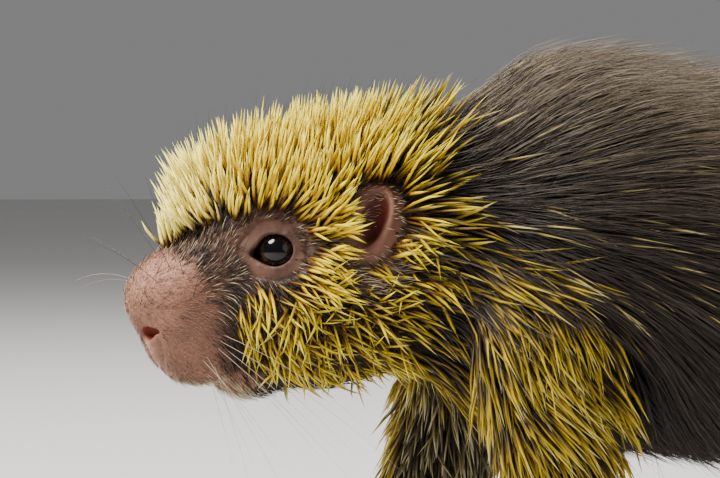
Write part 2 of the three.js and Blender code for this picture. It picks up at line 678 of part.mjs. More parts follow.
function tryQuill(coat, root, normal, lie, attempt) {
  const share = root.y < neckBack ? THREE.MathUtils.clamp(coatDepth(root) / 12, 0.5, 1) : 1;
  const length = between(coat.length) * share * (1 - 0.06 * attempt);
  const front = root.y < neckBack ? smoothstep(-root.y, 126, 146) : 0;
  const top = root.y < neckBack ? Math.max(0, normal.z) : 0;
  const lift = lerp(between(coat.lift) + 0.35 * top, 1.4, front) + 0.08 * attempt;
  const side = lie.clone().cross(normal);
  const direction = lie
    .clone()
    .multiplyScalar(Math.cos(lift))
    .addScaledVector(normal, Math.sin(lift))
    .addScaledVector(side, 0.3 * (random() - 0.5))
    .normalize();
  return {
    form: (margin) => quillForm(root, direction, length, coat.radius, margin),
    beads: quillBeads(root, direction, length, coat.radius),
  };
}

function tryLock(coat, root, guide, attempt) {
  const thin = guide === trunkGuide ? lerp(0.5, 1, smoothstep(root.z, 62, 90)) : 1;
  const rise = between(coat.rise) * thin * (1 + 0.08 * attempt);
  const length = between(coat.length) * (1 - 0.05 * attempt);
  const line = lockLine(root, guide, length, rise, 0.3 * (random() - 0.5));
  return { form: (margin) => lockForm(line, coat.width, margin), beads: lockBeads(line, coat.width) };
}

for (const [kind, coat] of Object.entries(coats)) {
  const owner = coat.node ?? kind;
  const node = nodes.get(owner);
  const guide = guides.get(owner) ?? trunkGuide;
  const roots = [];
  const grown = [];
  for (const { at, faces } of spreadOver(node.core ?? node.solid, Math.min(...coat.spacing) / 3)) {
    const normal = outward(guide.field, at);
    if (normal.dot(faces) < 0.8 || !(grows[kind]?.(at) ?? true)) continue;
    const lie = guide.lie(at, normal);
    lie.addScaledVector(normal, -lie.dot(normal)).normalize();
    const crowded = roots.some((root) => {
      const apart = at.clone().sub(root);
      const along = apart.dot(lie);
      const across = Math.sqrt(Math.max(0, apart.lengthSq() - along * along));
      return Math.hypot(along / coat.spacing[0], across / coat.spacing[1]) < 1;
    });
    if (crowded) continue;
    for (let attempt = 0; attempt < 5; attempt++) {
      const made = coat.quill ? tryQuill(coat, at, normal, lie, attempt) : tryLock(coat, at, guide, attempt);
      if (made.beads.some((bead) => nearBead(owner, bead)) || meetsOther(owner, made.form(gap))) continue;
      made.beads.forEach((bead) => addBead(owner, bead));
      roots.push(at);
      grown.push(made.form(0));
      break;
    }
  }
  for (const solid of grown) inPlace.push({ name: owner, solid, box: solid.boundingBox() });
  node.core ??= node.solid;
  node.solid = largest(wasm.Manifold.union([node.solid, ...grown]));
}

// Assembly, moved so that the origin is under the middle of the animal
const porcupine = new THREE.Group();
for (const [name, { solid, material }] of nodes) {
  const mesh = new THREE.Mesh(geometryOf(solid), material);
  mesh.name = name;
  porcupine.add(mesh);
}
const extent = new THREE.Box3().setFromObject(porcupine);
const middle = extent.getCenter(point(0, 0, 0));
porcupine.position.set(-middle.x, -middle.y, -extent.min.z);

export default porcupine;
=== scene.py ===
# A hairy dwarf porcupine, life-size, as a still museum model.
# Shapes are worked out in millimetres in the animal's own frame: it faces -Y and its left side is +X.
import math

import bpy
import numpy as np
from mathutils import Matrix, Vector


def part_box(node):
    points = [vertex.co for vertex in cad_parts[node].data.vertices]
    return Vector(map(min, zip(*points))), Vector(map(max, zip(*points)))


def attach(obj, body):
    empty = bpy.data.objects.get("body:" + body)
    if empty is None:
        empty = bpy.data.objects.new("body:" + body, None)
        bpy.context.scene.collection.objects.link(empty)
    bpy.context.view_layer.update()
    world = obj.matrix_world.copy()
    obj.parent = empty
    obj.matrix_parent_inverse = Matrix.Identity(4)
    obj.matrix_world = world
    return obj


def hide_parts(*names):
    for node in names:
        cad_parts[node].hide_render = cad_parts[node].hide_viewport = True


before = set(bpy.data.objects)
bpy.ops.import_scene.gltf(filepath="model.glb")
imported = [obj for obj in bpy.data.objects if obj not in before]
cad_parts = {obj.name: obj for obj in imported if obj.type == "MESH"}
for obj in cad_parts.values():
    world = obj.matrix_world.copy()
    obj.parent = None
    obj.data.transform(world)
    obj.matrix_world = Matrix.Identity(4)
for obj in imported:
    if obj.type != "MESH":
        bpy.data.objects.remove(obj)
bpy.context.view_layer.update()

# The flesh, the same forms as in the solids: centre and half sizes, mirrored where X isn't zero
headForms = {
    "cranium": ((0, -106, 118), (23, 31, 26)),
    "forehead": ((0, -127, 120), (17.5, 18, 18.5)),
    "cheek": ((13, -109, 105), (13, 23, 18)),
    "snout": ((0, -136, 106), (14.5, 17, 17)),
    "nose": ((0, -149.5, 104), (13, 14.2, 12.5)),
    "lip": ((6, -145, 91.5), (8.5, 12, 10.5)),
}
jawForms = {
    "chin": ((0, -132, 85.5), (8, 9.5, 8)),
    "jaw": ((0, -112, 91), (14, 20, 11)),
}
bodyForms = {
    "nape": ((0, -84, 117), (27, 26, 30)),
    "shoulders": ((0, -45, 115), (35, 42, 43)),
    "ribs": ((0, -2, 109), (39, 52, 44)),
    "belly": ((0, 45, 102), (42, 54, 43)),
    "rump": ((0, 88, 91), (39, 42, 41)),
}
# How widely two forms flow into each other
blends = {"head": 9, "body": 14, "jaw": 2.5, "limb": 9, "foot": 5, "toe": 1.6, "tail": 12, "ear": 2.5,
          "eyelid": 2.4, "eyeCorner": 2.0, "lidEdge": 0.45, "earEdge": 1.2, "earInside": 1.1, "tragus": 1.6,
          "earRoot": 1.5, "slit": 1.5, "nostril": 1.3}

# Legs: the joints from hip or shoulder to ankle, and the half sizes there across the body and along it
foreAcross, hindAcross = [15, 12, 10, 8.5, 8], [18, 16, 12, 9.5, 9]
hindAlong = [32, 24, 16, 11.5, 10]
forefoot = {"length": 40, "width": 22, "height": 15}
hindfoot = {"length": 56, "width": 26, "height": 17}
limbs = {
    "forelegLeft": {
        "joints": [(18, -52, 112), (33, -52, 84), (37, -51, 60), (35, -54, 36), (33, -60, 8)],
        "across": foreAcross, "along": [22, 16, 12, 10, 9],
        "foot": {**forefoot, "heel": (33, -51), "turn": 0.12, "side": 1},
    },
    "forelegRight": {
        "joints": [(-18, -48, 106), (-32, -57, 82), (-37, -65, 60), (-35, -75, 36), (-33, -84, 8)],
        "across": foreAcross, "along": [20, 16, 12, 10, 9],
        "foot": {**forefoot, "heel": (-33, -75), "turn": -0.12, "side": -1},
    },
    "hindlegLeft": {
        "joints": [(20, 86, 94), (36, 70, 68), (42, 62, 48), (40, 75, 31), (38, 87, 9)],
        "across": hindAcross, "along": hindAlong,
        "foot": {**hindfoot, "heel": (38, 96), "turn": 0.2, "side": 1},
    },
    "hindlegRight": {
        "joints": [(-20, 84, 94), (-36, 62, 68), (-42, 50, 48), (-40, 60, 31), (-38, 70, 9)],
        "across": hindAcross, "along": hindAlong,
        "foot": {**hindfoot, "heel": (-38, 79), "turn": -0.2, "side": -1},
    },
}
# Feet and toes, mostly as shares of the foot's length, width and height or of the toe's radius
sole = {"back": 0.36, "up": 0.36, "length": 0.42, "height": 0.62}
toe = {"count": 4, "radius": 0.135, "reach": 0.97, "step": 0.07, "skew": 0.2, "thick": 1.05,
       "rootOut": 0.3, "rootAhead": 0.5, "rootUp": 0.32, "tipOut": 0.5, "tipUp": 0.85,
       "knuckles": (0.13, 9.0)}
tail = {
    "path": [(0, 100, 84), (0, 124, 72), (1, 144, 52), (4, 160, 32), (10, 182, 17), (20, 212, 10),
             (34, 240, 7), (54, 264, 5.8), (78, 280, 5), (100, 286, 4.6)],
    "thickness": [19, 17, 14.5, 12.5, 10.5, 8.5, 7, 5.8, 5, 3.6],
}
eye = {"at": (15.2, -123.4, 117.1), "looks": (0.93, -0.34, 0.08), "radius": 6.2, "lid": 1.4, "gap": 0.12,
       "reach": 24, "oval": 1.14, "waves": ((0.45, 3, 0.7), (0.22, 7, 2)),
       "opening": ((0, 0, 7.0), (5.1, 4.4, 9)), "corner": ((-3.9, -0.9, 6.0), (3.0, 1.6, 9))}
# Folds round the eye: how high, how far from its middle and how wide
eyeFolds = {"lidCrease": (0.5, 8.3, 0.55), "bagCrease": (0.42, 10.1, 0.6), "cheekCrease": (0.3, 12, 0.7),
            "bag": (0.6, 9.4, 1.6), "brow": (0.2, 10.5, 2.5)}
ear = {"at": (24.5, -99.6, 125.5), "opens": (0.80, -0.58, 0.14), "leans": 0.22, "size": (6.1, 9.8, 6.2),
       "reach": 26, "cup": (0, 0.3, 3.2), "wall": (1.05, 1.05, -0.6), "rim": 1.3, "bow": 0.03,
       "tragus": ((-4.4, -3.0, -0.8), (1.8, 3.0, 2.2))}
nostril = {"at": (7.0, -157.2, 95.0), "size": (2.6, 2.8, 1.9),
           "slit": ((8.8, -155.0, 95.6), (2.0, 3.0, 1.0))}
# How deep and how wide the grooves of the muzzle are
grooveDepth = {"mouth": 2.0, "cleft": 0.9, "pad": 0.55}
grooveWidth = {"mouth": 1.2, "cleft": 0.8, "pad": 0.8}
nosePad = ((6.0, -156.6, 92.5), (5.2, 5.0, 8.0))

# Where the animal stands in the frame
eyeBox = [np.array(corner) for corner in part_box("eye_left")]
shift = (eyeBox[0] + eyeBox[1]) / 2 - np.array(eye["at"]) * 0.001


def metres(points):
    return np.asarray(points, dtype=float) * 0.001 + shift


def unit(v):
    v = np.asarray(v, dtype=float)
    return v / np.maximum(np.linalg.norm(v, axis=-1, keepdims=True), 1e-9)


def smoothstep(value, low, high):
    # From 0 where the value is low to 1 where it is high, also with low above high
    t = np.clip((value - low) / (high - low), 0, 1)
    return t * t * (3 - 2 * t)


def lerp(a, b, t):
    return a + (b - a) * t


def bell(value, middle, width):
    return np.exp(-(((value - middle) / width) ** 2))


def overY(p, low, high):
    return smoothstep(p[:, 1], low, high)


def overZ(p, low, high):
    return smoothstep(p[:, 2], low, high)


def lengthOf(v):
    return np.linalg.norm(v, axis=1)


def mirrored(p):
    return np.stack([np.abs(p[:, 0]), p[:, 1], p[:, 2]], 1)


# Distance fields
def smoothMin(a, b, blend):
    near = np.maximum(blend - np.abs(a - b), 0) / blend
    return np.minimum(a, b) - near * near * blend / 4


def smoothMax(a, b, blend):
    return -smoothMin(-a, -b, blend)


def ellipsoid(p, at, size, paired=True):
    # A paired one is on both sides of the animal, unless it is in its middle
    q = p - np.asarray(at, dtype=float)
    if paired and at[0]:
        q[:, 0] = np.abs(p[:, 0]) - at[0]
    size = np.asarray(size, dtype=float)
    near = lengthOf(q / size)
    slope = lengthOf(q / size**2)
    return near * (near - 1) / np.maximum(slope, 1e-9)


def joined(p, forms, blend):
    total = None
    for at, size in forms.values():
        distance = ellipsoid(p, at, size)
        total = distance if total is None else smoothMin(total, distance, blend)
    return total


def trunkField(p):
    body, head = joined(p, bodyForms, blends["body"]), joined(p, headForms, blends["head"])
    return smoothMin(body, head, blends["body"])


def splineThrough(points, steps):
    pts = np.asarray(points, dtype=float)
    padded = np.vstack([2 * pts[0] - pts[1], pts, 2 * pts[-1] - pts[-2]])
    out = []
    for i in range(len(pts) - 1):
        a, b, c, d = padded[i:i + 4]
        for t in np.arange(steps) / steps:
            bend = (2 * a - 5 * b + 4 * c - d) * t**2 + (3 * b - a - 3 * c + d) * t**3
            out.append(0.5 * (2 * b + (c - a) * t + bend))
    return np.array(out + [pts[-1]])


def makeTube(joints, across, along, steps):
    points = splineThrough(joints, steps)
    place = np.linspace(0, len(joints) - 1, len(points))
    ids = np.arange(len(joints))
    return {"points": points, "across": np.interp(place, ids, across), "along": np.interp(place, ids, along)}


tubes = {name: makeTube(limb["joints"], limb["across"], limb["along"], 4) for name, limb in limbs.items()}
tubes["tail"] = makeTube(tail["path"], tail["thickness"], tail["thickness"], 3)
tubeNames = [*limbs, "tail"]
farAway, tubeMargin = 60.0, 22
# Numbers of the body's parts: 0 is the trunk, and then they are in the order of tubeNames
forelegParts, hindlegParts, tailPart = (1, 2), (3, 4), 5


def tubeField(p, tube, want="distance"):
    # The distance to the tube's skin, or with want="place" how far along it each point is
    points = tube["points"]
    reach = max(tube["across"].max(), tube["along"].max()) + tubeMargin
    near = np.all((p > points.min(0) - reach) & (p < points.max(0) + reach), axis=1)
    q = p[near]
    nearest = np.full(len(q), farAway)
    place = np.zeros(len(q))
    for i in range(len(points) - 1):
        a, span = points[i], points[i + 1] - points[i]
        length = np.linalg.norm(span)
        forward = span / length
        side = unit(np.array([1.0, 0, 0]) - forward * forward[0])
        front = np.cross(forward, side)
        t = np.clip((q - a) @ forward / length, 0, 1)
        away = q - a - t[:, None] * span
        wide = lerp(tube["across"][i], tube["across"][i + 1], t)
        deep = lerp(tube["along"][i], tube["along"][i + 1], t)
        parts = [away @ side / wide, away @ front / deep, away @ forward / deep]
        size = np.sqrt(parts[0] ** 2 + parts[1] ** 2 + parts[2] ** 2)
        slope = np.sqrt((parts[0] / wide) ** 2 + (parts[1] / deep) ** 2 + (parts[2] / deep) ** 2)
        distance = size * (size - 1) / np.maximum(slope, 1e-9)
        closer = distance < nearest
        nearest[closer] = distance[closer]
        place[closer] = (i + t)[closer]
    whole = np.full(len(p), farAway if want == "distance" else 0.0)
    whole[near] = nearest if want == "distance" else place
    return whole


def footToes(foot):
    length, width, height = foot["length"], foot["width"], foot["height"]
    radius = width * toe["radius"]
    middle = (toe["count"] - 1) / 2
    for i in range(toe["count"]):
        spread = (i - middle) / middle
        out = length * (toe["reach"] - toe["step"] * abs(spread + toe["skew"] * foot["side"]))
        root = [spread * width * toe["rootOut"], -length * toe["rootAhead"], height * toe["rootUp"]]
        tip = [spread * width * toe["tipOut"], -out + radius, radius * toe["tipUp"]]
        yield np.array(root), np.array(tip), radius


def footAxes(foot):
    c, s = math.cos(-foot["turn"]), math.sin(-foot["turn"])
    return np.array([[c, s, 0], [-s, c, 0], [0, 0, 1]])


def footField(p, foot):
    q = (p - np.array([*foot["heel"], 0.0])) @ footAxes(foot).T
    length, width, height = foot["length"], foot["width"], foot["height"]
    near = np.all(np.abs(q - [0, -length * 0.45, 0]) < [width, length, height + 14], axis=1)
    q = q[near]
    half = (width / 2, length * sole["length"], height * sole["height"])
    total = ellipsoid(q, (0, -length * sole["back"], height * sole["up"]), half)
    swell, turns = toe["knuckles"]
    for root, tip, radius in footToes(foot):
        span = tip - root
        t = np.clip((q - root) @ span / (span @ span), 0, 1)
        thick = radius * (toe["thick"] - swell * np.sin(t * turns))
        total = smoothMin(total, lengthOf(q - root - t[:, None] * span) - thick, blends["toe"])
    field = np.full(len(p), farAway)
    field[near] = total
    return field


# Axes of eye and ear: towards the tail, up, and out along where they look
def axesAlong(looks, side, lean=0.0):
    look = unit(np.array(looks) * [side, 1, 1])
    up = unit(np.array([0, 0, 1.0]) - look * look[2])
    back = np.cross(up, look) * side
    c, s = math.cos(lean), math.sin(lean)
    return np.array([back * c - up * s, up * c + back * s, look])


eyeAxes = {side: axesAlong(eye["looks"], side) for side in (1, -1)}
earAxes = axesAlong(ear["opens"], 1, ear["leans"])


def eyeSpace(p):
    return (mirrored(p) - eye["at"]) @ eyeAxes[1].T


def earSpace(p):
    return (mirrored(p) - ear["at"]) @ earAxes.T


def carveEyes(p, field):
    q = eyeSpace(p)
    near = lengthOf(q) < eye["reach"]
    q, f = q[near], field[near]
    angle = np.arctan2(q[:, 1], q[:, 0])
    ring = np.hypot(q[:, 0] / eye["oval"], q[:, 1])
    for height, turns, start in eye["waves"]:
        ring = ring + height * np.sin(turns * angle + start)

    def fold(name, weight=1):
        height, middle, width = eyeFolds[name]
        return height * weight * bell(ring, middle, width)

    out = smoothstep(q[:, 2], -3, 2)
    lower = smoothstep(np.sin(angle + 0.35), 0.35, -0.5)
    creases = fold("lidCrease") + lower * (fold("bagCrease") + fold("cheekCrease"))
    f = f + out * (creases - (fold("bag", lower) + fold("brow", 1 - lower)))
    ball = lengthOf(q)
    f = smoothMin(f, ball - eye["radius"] - eye["lid"], blends["eyelid"])
    opening, corner = (ellipsoid(q, *eye[name], paired=False) for name in ("opening", "corner"))
    f = smoothMax(f, -smoothMin(opening, corner, blends["eyeCorner"]), blends["lidEdge"])
    field[near] = np.maximum(f, eye["radius"] + eye["gap"] - ball)
    return field


def earField(p):
    q = earSpace(p)
    near = lengthOf(q) < ear["reach"]
    q = q[near]
    outer = ellipsoid(q, (0, 0, 0), ear["size"])
    inner = ellipsoid(q, ear["cup"], np.subtract(ear["size"], ear["wall"]))
    lip = q[:, 2] - ear["rim"] + ear["bow"] * q[:, 1] ** 2 / 2 + 0.9 * np.sin(q[:, 1] / 5)
    shell = smoothMax(smoothMax(outer, lip, blends["earEdge"]), -inner, blends["earInside"])
    tragus = ellipsoid(q, *ear["tragus"], paired=False)
    field = np.full(len(p), farAway)
    field[near] = smoothMin(shell, tragus, blends["tragus"])
    return field, near, inner


def nostrilField(p):
    hole = ellipsoid(p, nostril["at"], nostril["size"])
    return smoothMin(hole, ellipsoid(p, *nostril["slit"]), blends["slit"])


def skinField(p):
    head = joined(p, headForms, blends["head"])
    jaw = joined(p, jawForms, blends["head"])
    field = smoothMin(joined(p, bodyForms, blends["body"]), head, blends["body"])
    mouth = grooveDepth["mouth"] * bell(head - jaw, 0, grooveWidth["mouth"]) * overY(p, -126, -134)
    field = smoothMin(field, jaw, blends["jaw"]) + mouth
    earShell, nearEar, cup = earField(p)
    field[nearEar] = smoothMax(field[nearEar], -(cup + 0.6), blends["earRoot"])
    field = smoothMin(field, earShell, blends["ear"])
    field = carveEyes(p, field)
    cleft = bell(p[:, 0], 0, grooveWidth["cleft"]) * overY(p, -150, -156) * overZ(p, 99, 94)
    pad = bell(ellipsoid(p, *nosePad), 0.4, grooveWidth["pad"])
    pad = pad * overY(p, -158, -154) * overY(p, -128, -140)
    field = field + grooveDepth["cleft"] * cleft + grooveDepth["pad"] * pad
    field = smoothMax(field, -nostrilField(p), blends["nostril"])
    for name, limb in limbs.items():
        leg = smoothMin(tubeField(p, tubes[name]), footField(p, limb["foot"]), blends["foot"])
        field = smoothMin(field, leg, blends["limb"])
    field = smoothMin(field, tubeField(p, tubes["tail"]), blends["tail"])
    return np.maximum(field, -p[:, 2])


def slopeOf(field, p, step=0.3):
    slope = np.empty_like(p)
    for axis in range(3):
        offset = np.zeros(3)
        offset[axis] = step
        slope[:, axis] = field(p + offset) - field(p - offset)
    return slope / (2 * step)


# Skin mesh: a net over the zero level of the field, then finer triangles at the eyes, ears, mouth and toes
gridLines = {
    "x": np.concatenate([np.arange(-104, -36, 2.0), np.arange(-36, 36, 1.25), np.arange(36, 108, 2.0)]),
    "y": np.concatenate([np.arange(-168, -78, 1.0), np.arange(-78, 292, 2.9)]),
    "z": np.concatenate([np.arange(-1.5, 75, 1.6), np.arange(75.3, 146, 1.1), np.arange(146.5, 168, 1.9)]),
}
coarseStep, band = 4, 14.0
# Where the triangles are finer: how far from eye, ear and nostril, and Y and Z of mouth and feet
fineReach = {"eye": 15, "ear": 13.5, "nostril": 8}
fineMouth = {"middle": (-138, 84), "reach": (18, 6.5)}
fineFeet = (100, 8)


def sampledField():
    lines = [gridLines[k] for k in "xyz"]
    coarse = [line[::coarseStep] for line in lines]
    grid = np.stack(np.meshgrid(*coarse, indexing="ij"), -1).reshape(-1, 3)
    rough = skinField(grid).reshape([len(line) for line in coarse])
    for axis in range(3):
        rough = np.repeat(rough, coarseStep, axis=axis)
    values = rough[:len(lines[0]), :len(lines[1]), :len(lines[2])].copy()
    near = np.argwhere(np.abs(values) < band)
    points = np.stack([lines[k][near[:, k]] for k in range(3)], 1)
    values[tuple(near.T)] = skinField(points)
    return lines, values


def surfaceNet(lines, values):
    inside = values < 0
    shape = np.array(values.shape) - 1
    allCells, allPoints = [], []
    for axis in range(3):
        low, high = [slice(None)] * 3, [slice(None)] * 3
        low[axis], high[axis] = slice(0, -1), slice(1, None)
        crossing = np.argwhere(inside[tuple(low)] != inside[tuple(high)])
        step = np.eye(3, dtype=int)[axis]
        a, b = values[tuple(crossing.T)], values[tuple((crossing + step).T)]
        at = np.stack([lines[k][crossing[:, k]] for k in range(3)], 1)
        at[:, axis] += a / (a - b) * (lines[axis][crossing[:, axis] + 1] - at[:, axis])
        corners = []
        for back in ((1, 1), (0, 1), (0, 0), (1, 0)):
            cell = crossing.copy()
            cell[:, (axis + 1) % 3] -= back[0]
            cell[:, (axis + 2) % 3] -= back[1]
            corners.append((cell[:, 0] * shape[1] + cell[:, 1]) * shape[2] + cell[:, 2])
        quad = np.stack(corners, 1)
        flip = ~inside[tuple(crossing.T)]
        quad[flip] = quad[flip][:, ::-1]
        allCells.append(quad.reshape(-1))
        allPoints.append(np.repeat(at, 4, axis=0))
    keys, index = np.unique(np.concatenate(allCells), return_inverse=True)
    points = np.concatenate(allPoints)
    counts = np.bincount(index)
    middles = np.stack([np.bincount(index, weights=points[:, k]) / counts for k in range(3)], 1)
    return middles, index.reshape(-1, 4)


def relaxed(points, quads, rounds=2):
    ends = np.concatenate([quads[:, [0, 1]], quads[:, [1, 2]], quads[:, [2, 3]], quads[:, [3, 0]]])
    counts = np.maximum(np.bincount(ends[:, 0], minlength=len(points)), 1)[:, None]
    for _ in range(rounds):
        beside = points[ends[:, 1]]
        sums = [np.bincount(ends[:, 0], weights=beside[:, k], minlength=len(points)) for k in range(3)]
        points = lerp(points, np.stack(sums, 1) / counts, 0.5)
    return points


def settled(points, rounds=2, flattest=0.2, longest=0.8):
    # Moves the points onto the skin, in steps that are never long
    for _ in range(rounds):
        slope = slopeOf(skinField, points)
        size = np.maximum((slope**2).sum(1), flattest)
        step = -skinField(points)[:, None] * slope / size[:, None]
        points = points + np.clip(step, -longest, longest)
    points[:, 2] = np.maximum(points[:, 2], 0)
    return points


def refined(points, triangles, choose):
    # Splits each edge whose middle is chosen, and the triangles beside it into two, three or four
    edges = np.concatenate([triangles[:, [0, 1]], triangles[:, [1, 2]], triangles[:, [2, 0]]])
    edges = np.sort(edges, axis=1)
    keys, index = np.unique(edges[:, 0] * len(points) + edges[:, 1], return_inverse=True)
    middles = (points[keys // len(points)] + points[keys % len(points)]) / 2
    split = choose(middles)
    number = np.full(len(keys), -1)
    number[split] = len(points) + np.arange(split.sum())
    mids = number[index].reshape(3, -1).T
    count = (mids >= 0).sum(1)
    out = [triangles[count == 0]]
    (a, b, c), (ab, bc, ca) = triangles[count == 3].T, mids[count == 3].T
    for corners in ((a, ab, ca), (b, bc, ab), (c, ca, bc), (ab, bc, ca)):
        out.append(np.stack(corners, 1))
    for k in range(3):
        turn = [k, (k + 1) % 3, (k + 2) % 3]
        one = (count == 1) & (mids[:, k] >= 0)
        (a, b, c), ab = triangles[one][:, turn].T, mids[one, k]
        out += [np.stack([a, ab, c], 1), np.stack([ab, b, c], 1)]
        two = (count == 2) & (mids[:, turn[2]] < 0)
        (a, b, c), ab, bc = triangles[two][:, turn].T, mids[two, k], mids[two, turn[1]]
        out += [np.stack([ab, b, bc], 1), np.stack([a, ab, bc], 1), np.stack([a, bc, c], 1)]
    return np.concatenate([points, middles[split]]), np.concatenate(out)


def needsDetail(p):
    q = mirrored(p)
    chosen = lengthOf(q - eye["at"]) < fineReach["eye"]
    chosen |= lengthOf(earSpace(p)) < fineReach["ear"]
    chosen |= lengthOf(q - nostril["at"]) < fineReach["nostril"]
    chosen |= np.all(np.abs(p[:, 1:] - fineMouth["middle"]) < fineMouth["reach"], axis=1)
    return chosen | np.all(p[:, 1:] < fineFeet, axis=1)


skinPoints, skinQuads = surfaceNet(*sampledField())
skinPoints = settled(relaxed(skinPoints, skinQuads))
skinTriangles = np.concatenate([skinQuads[:, [0, 1, 2]], skinQuads[:, [0, 2, 3]]])
skinPoints, skinTriangles = refined(skinPoints, skinTriangles, needsDetail)
skinPoints = settled(skinPoints)
print("skin", len(skinPoints), "points", len(skinTriangles), "triangles")


# Regions of the animal, the same for skin and coat
muzzleLine = {"z": [74, 83, 86, 94, 100, 106, 113, 117, 126],
              "y": [-127.5, -128.5, -138.5, -138, -138.7, -141, -146, -152, -162]}
crownLine = {"y": [-153, -145, -141, -134, -126, -118], "z": [117.5, 120.5, 124, 124.5, 125.5, 122]}
cheekLine = {"z": [78, 86, 91.5, 100, 106, 109.5, 112, 118, 122],
             "y": [-122, -127, -133.5, -137.5, -136, -128.5, -118, -117, -122]}
goldLine = {"z": [50, 92, 104, 110, 115, 122, 136, 165], "y": [-49, -49, -49, -54, -64, -84, -88, -86]}
# Bare skin round the eye and on the ear, in their own axes, and the thin patch below the ear
eyeSkin = {"at": (-1.8, 0.5), "size": (11, 10), "depth": 6}
earSkin = (7.2, 10.6, 10)
thinPatch = {"at": (22, -100, 112.6), "size": (14, 11, 6.8)}


def behindMuzzle(p):
    return p[:, 1] - np.interp(p[:, 2], muzzleLine["z"], muzzleLine["y"])


def besideEye(p):
    # About 1 on the edge of the bare skin round the eye
    q = eyeSpace(p)
    away = (q[:, :2] - eyeSkin["at"]) / eyeSkin["size"]
    return np.hypot(*away.T) + np.maximum(0, -q[:, 2] - eyeSkin["depth"]) / eyeSkin["depth"]


def besideEar(p):
    q = earSpace(p)
    q[:, 2] = np.minimum(q[:, 2], 0)
    return lengthOf(q / earSkin)


def belowEar(p):
    return lengthOf((mirrored(p) - thinPatch["at"]) / thinPatch["size"])


def insideQuills(p):
    # How far a place is behind the edge of the quills on the face
    above = p[:, 2] - np.interp(p[:, 1], crownLine["y"], crownLine["z"])
    behind = p[:, 1] - np.interp(p[:, 2], cheekLine["z"], cheekLine["y"])
    return np.minimum(np.maximum(above, behind), behindMuzzle(p))


def quilled(p):
    return smoothstep(insideQuills(p), -1.2, 1.6)


def bodyPart(p):
    distances = [trunkField(p) - 1.5]
    for name, limb in limbs.items():
        distances.append(smoothMin(tubeField(p, tubes[name]), footField(p, limb["foot"]), 2))
    distances.append(tubeField(p, tubes["tail"]))
    return np.argmin(np.array(distances), axis=0)


def markings(p, part):
    trunk = (part == 0) * 1.0
    edge = np.interp(p[:, 2], goldLine["z"], goldLine["y"])
    front = trunk + np.isin(part, forelegParts)
    return {
        "gold": front * smoothstep(edge - p[:, 1], -11, 7) * overZ(p, 22, 50),
        # The hair tips are paler on the top of the back
        "frosted": trunk * overZ(p, 122, 150) * overY(p, 110, 20),
        "pale": trunk * overY(p, -128, -152) * overZ(p, 108, 122),
        "muzzle": trunk * smoothstep(behindMuzzle(p), 5, -4),
    }


# Meshes
def linked(name, data):
    made = bpy.data.objects.new(name, data)
    bpy.context.scene.collection.objects.link(made)
    return made


def makeMesh(name, points, faces, attributes, material):
    # faces holds index arrays, one for each number of corners
    mesh = bpy.data.meshes.new(name)
    loops = np.concatenate([face.reshape(-1) for face in faces]).astype(np.int32)
    sizes = np.concatenate([np.full(len(face), face.shape[1]) for face in faces]).astype(np.int32)
    starts = np.concatenate([[0], np.cumsum(sizes)[:-1]]).astype(np.int32)
    mesh.vertices.add(len(points))
    mesh.vertices.foreach_set("co", metres(points).astype(np.float32).reshape(-1))
    mesh.loops.add(len(loops))
    mesh.loops.foreach_set("vertex_index", loops)
    mesh.polygons.add(len(sizes))
    mesh.polygons.foreach_set("loop_start", starts)
    mesh.polygons.foreach_set("loop_total", sizes)
    mesh.polygons.foreach_set("use_smooth", np.full(len(sizes), True))
    for key, values in attributes.items():
        layer = mesh.attributes.new(key, "FLOAT", "POINT")
        layer.data.foreach_set("value", np.asarray(values, dtype=np.float32))
    mesh.update(calc_edges=True)
    mesh.validate()
    mesh.materials.append(material)
    return linked(name, mesh)


def layOut(made, layout):
    # layout holds the place of each vertex on the map
    corners = np.empty(len(made.data.loops), dtype=np.int32)
    made.data.loops.foreach_get("vertex_index", corners)
    layer = made.data.uv_layers.new(name="OFBake")
    layer.data.foreach_set("uv", layout[corners].astype(np.float32).reshape(-1))


def spindleFaces(sides, rings):
    # The sides of a closed spindle, the triangles at its tip and the face at its root
    k = np.arange(sides)
    following = (k + 1) % sides
    quad = np.stack([k, following, following + sides, k + sides], 1)
    last = (rings - 1) * sides
    tips = np.stack([last + k, last + following, np.full(sides, rings * sides)], 1)
    return [np.concatenate([quad + r * sides for r in range(rings - 1)]), tips, k[::-1][None]]


# Shader maths
class Wire:
    def __init__(self, finish, socket):
        self.finish = finish
        self.socket = socket

    def calc(self, operation, *values):
        return self.finish.node("ShaderNodeMath", {"operation": operation}, dict(enumerate(values)))

    def __add__(self, other):
        return self.calc("ADD", self, other)

    def __sub__(self, other):
        return self.calc("SUBTRACT", self, other)

    def __mul__(self, other):
        return self.calc("MULTIPLY", self, other)


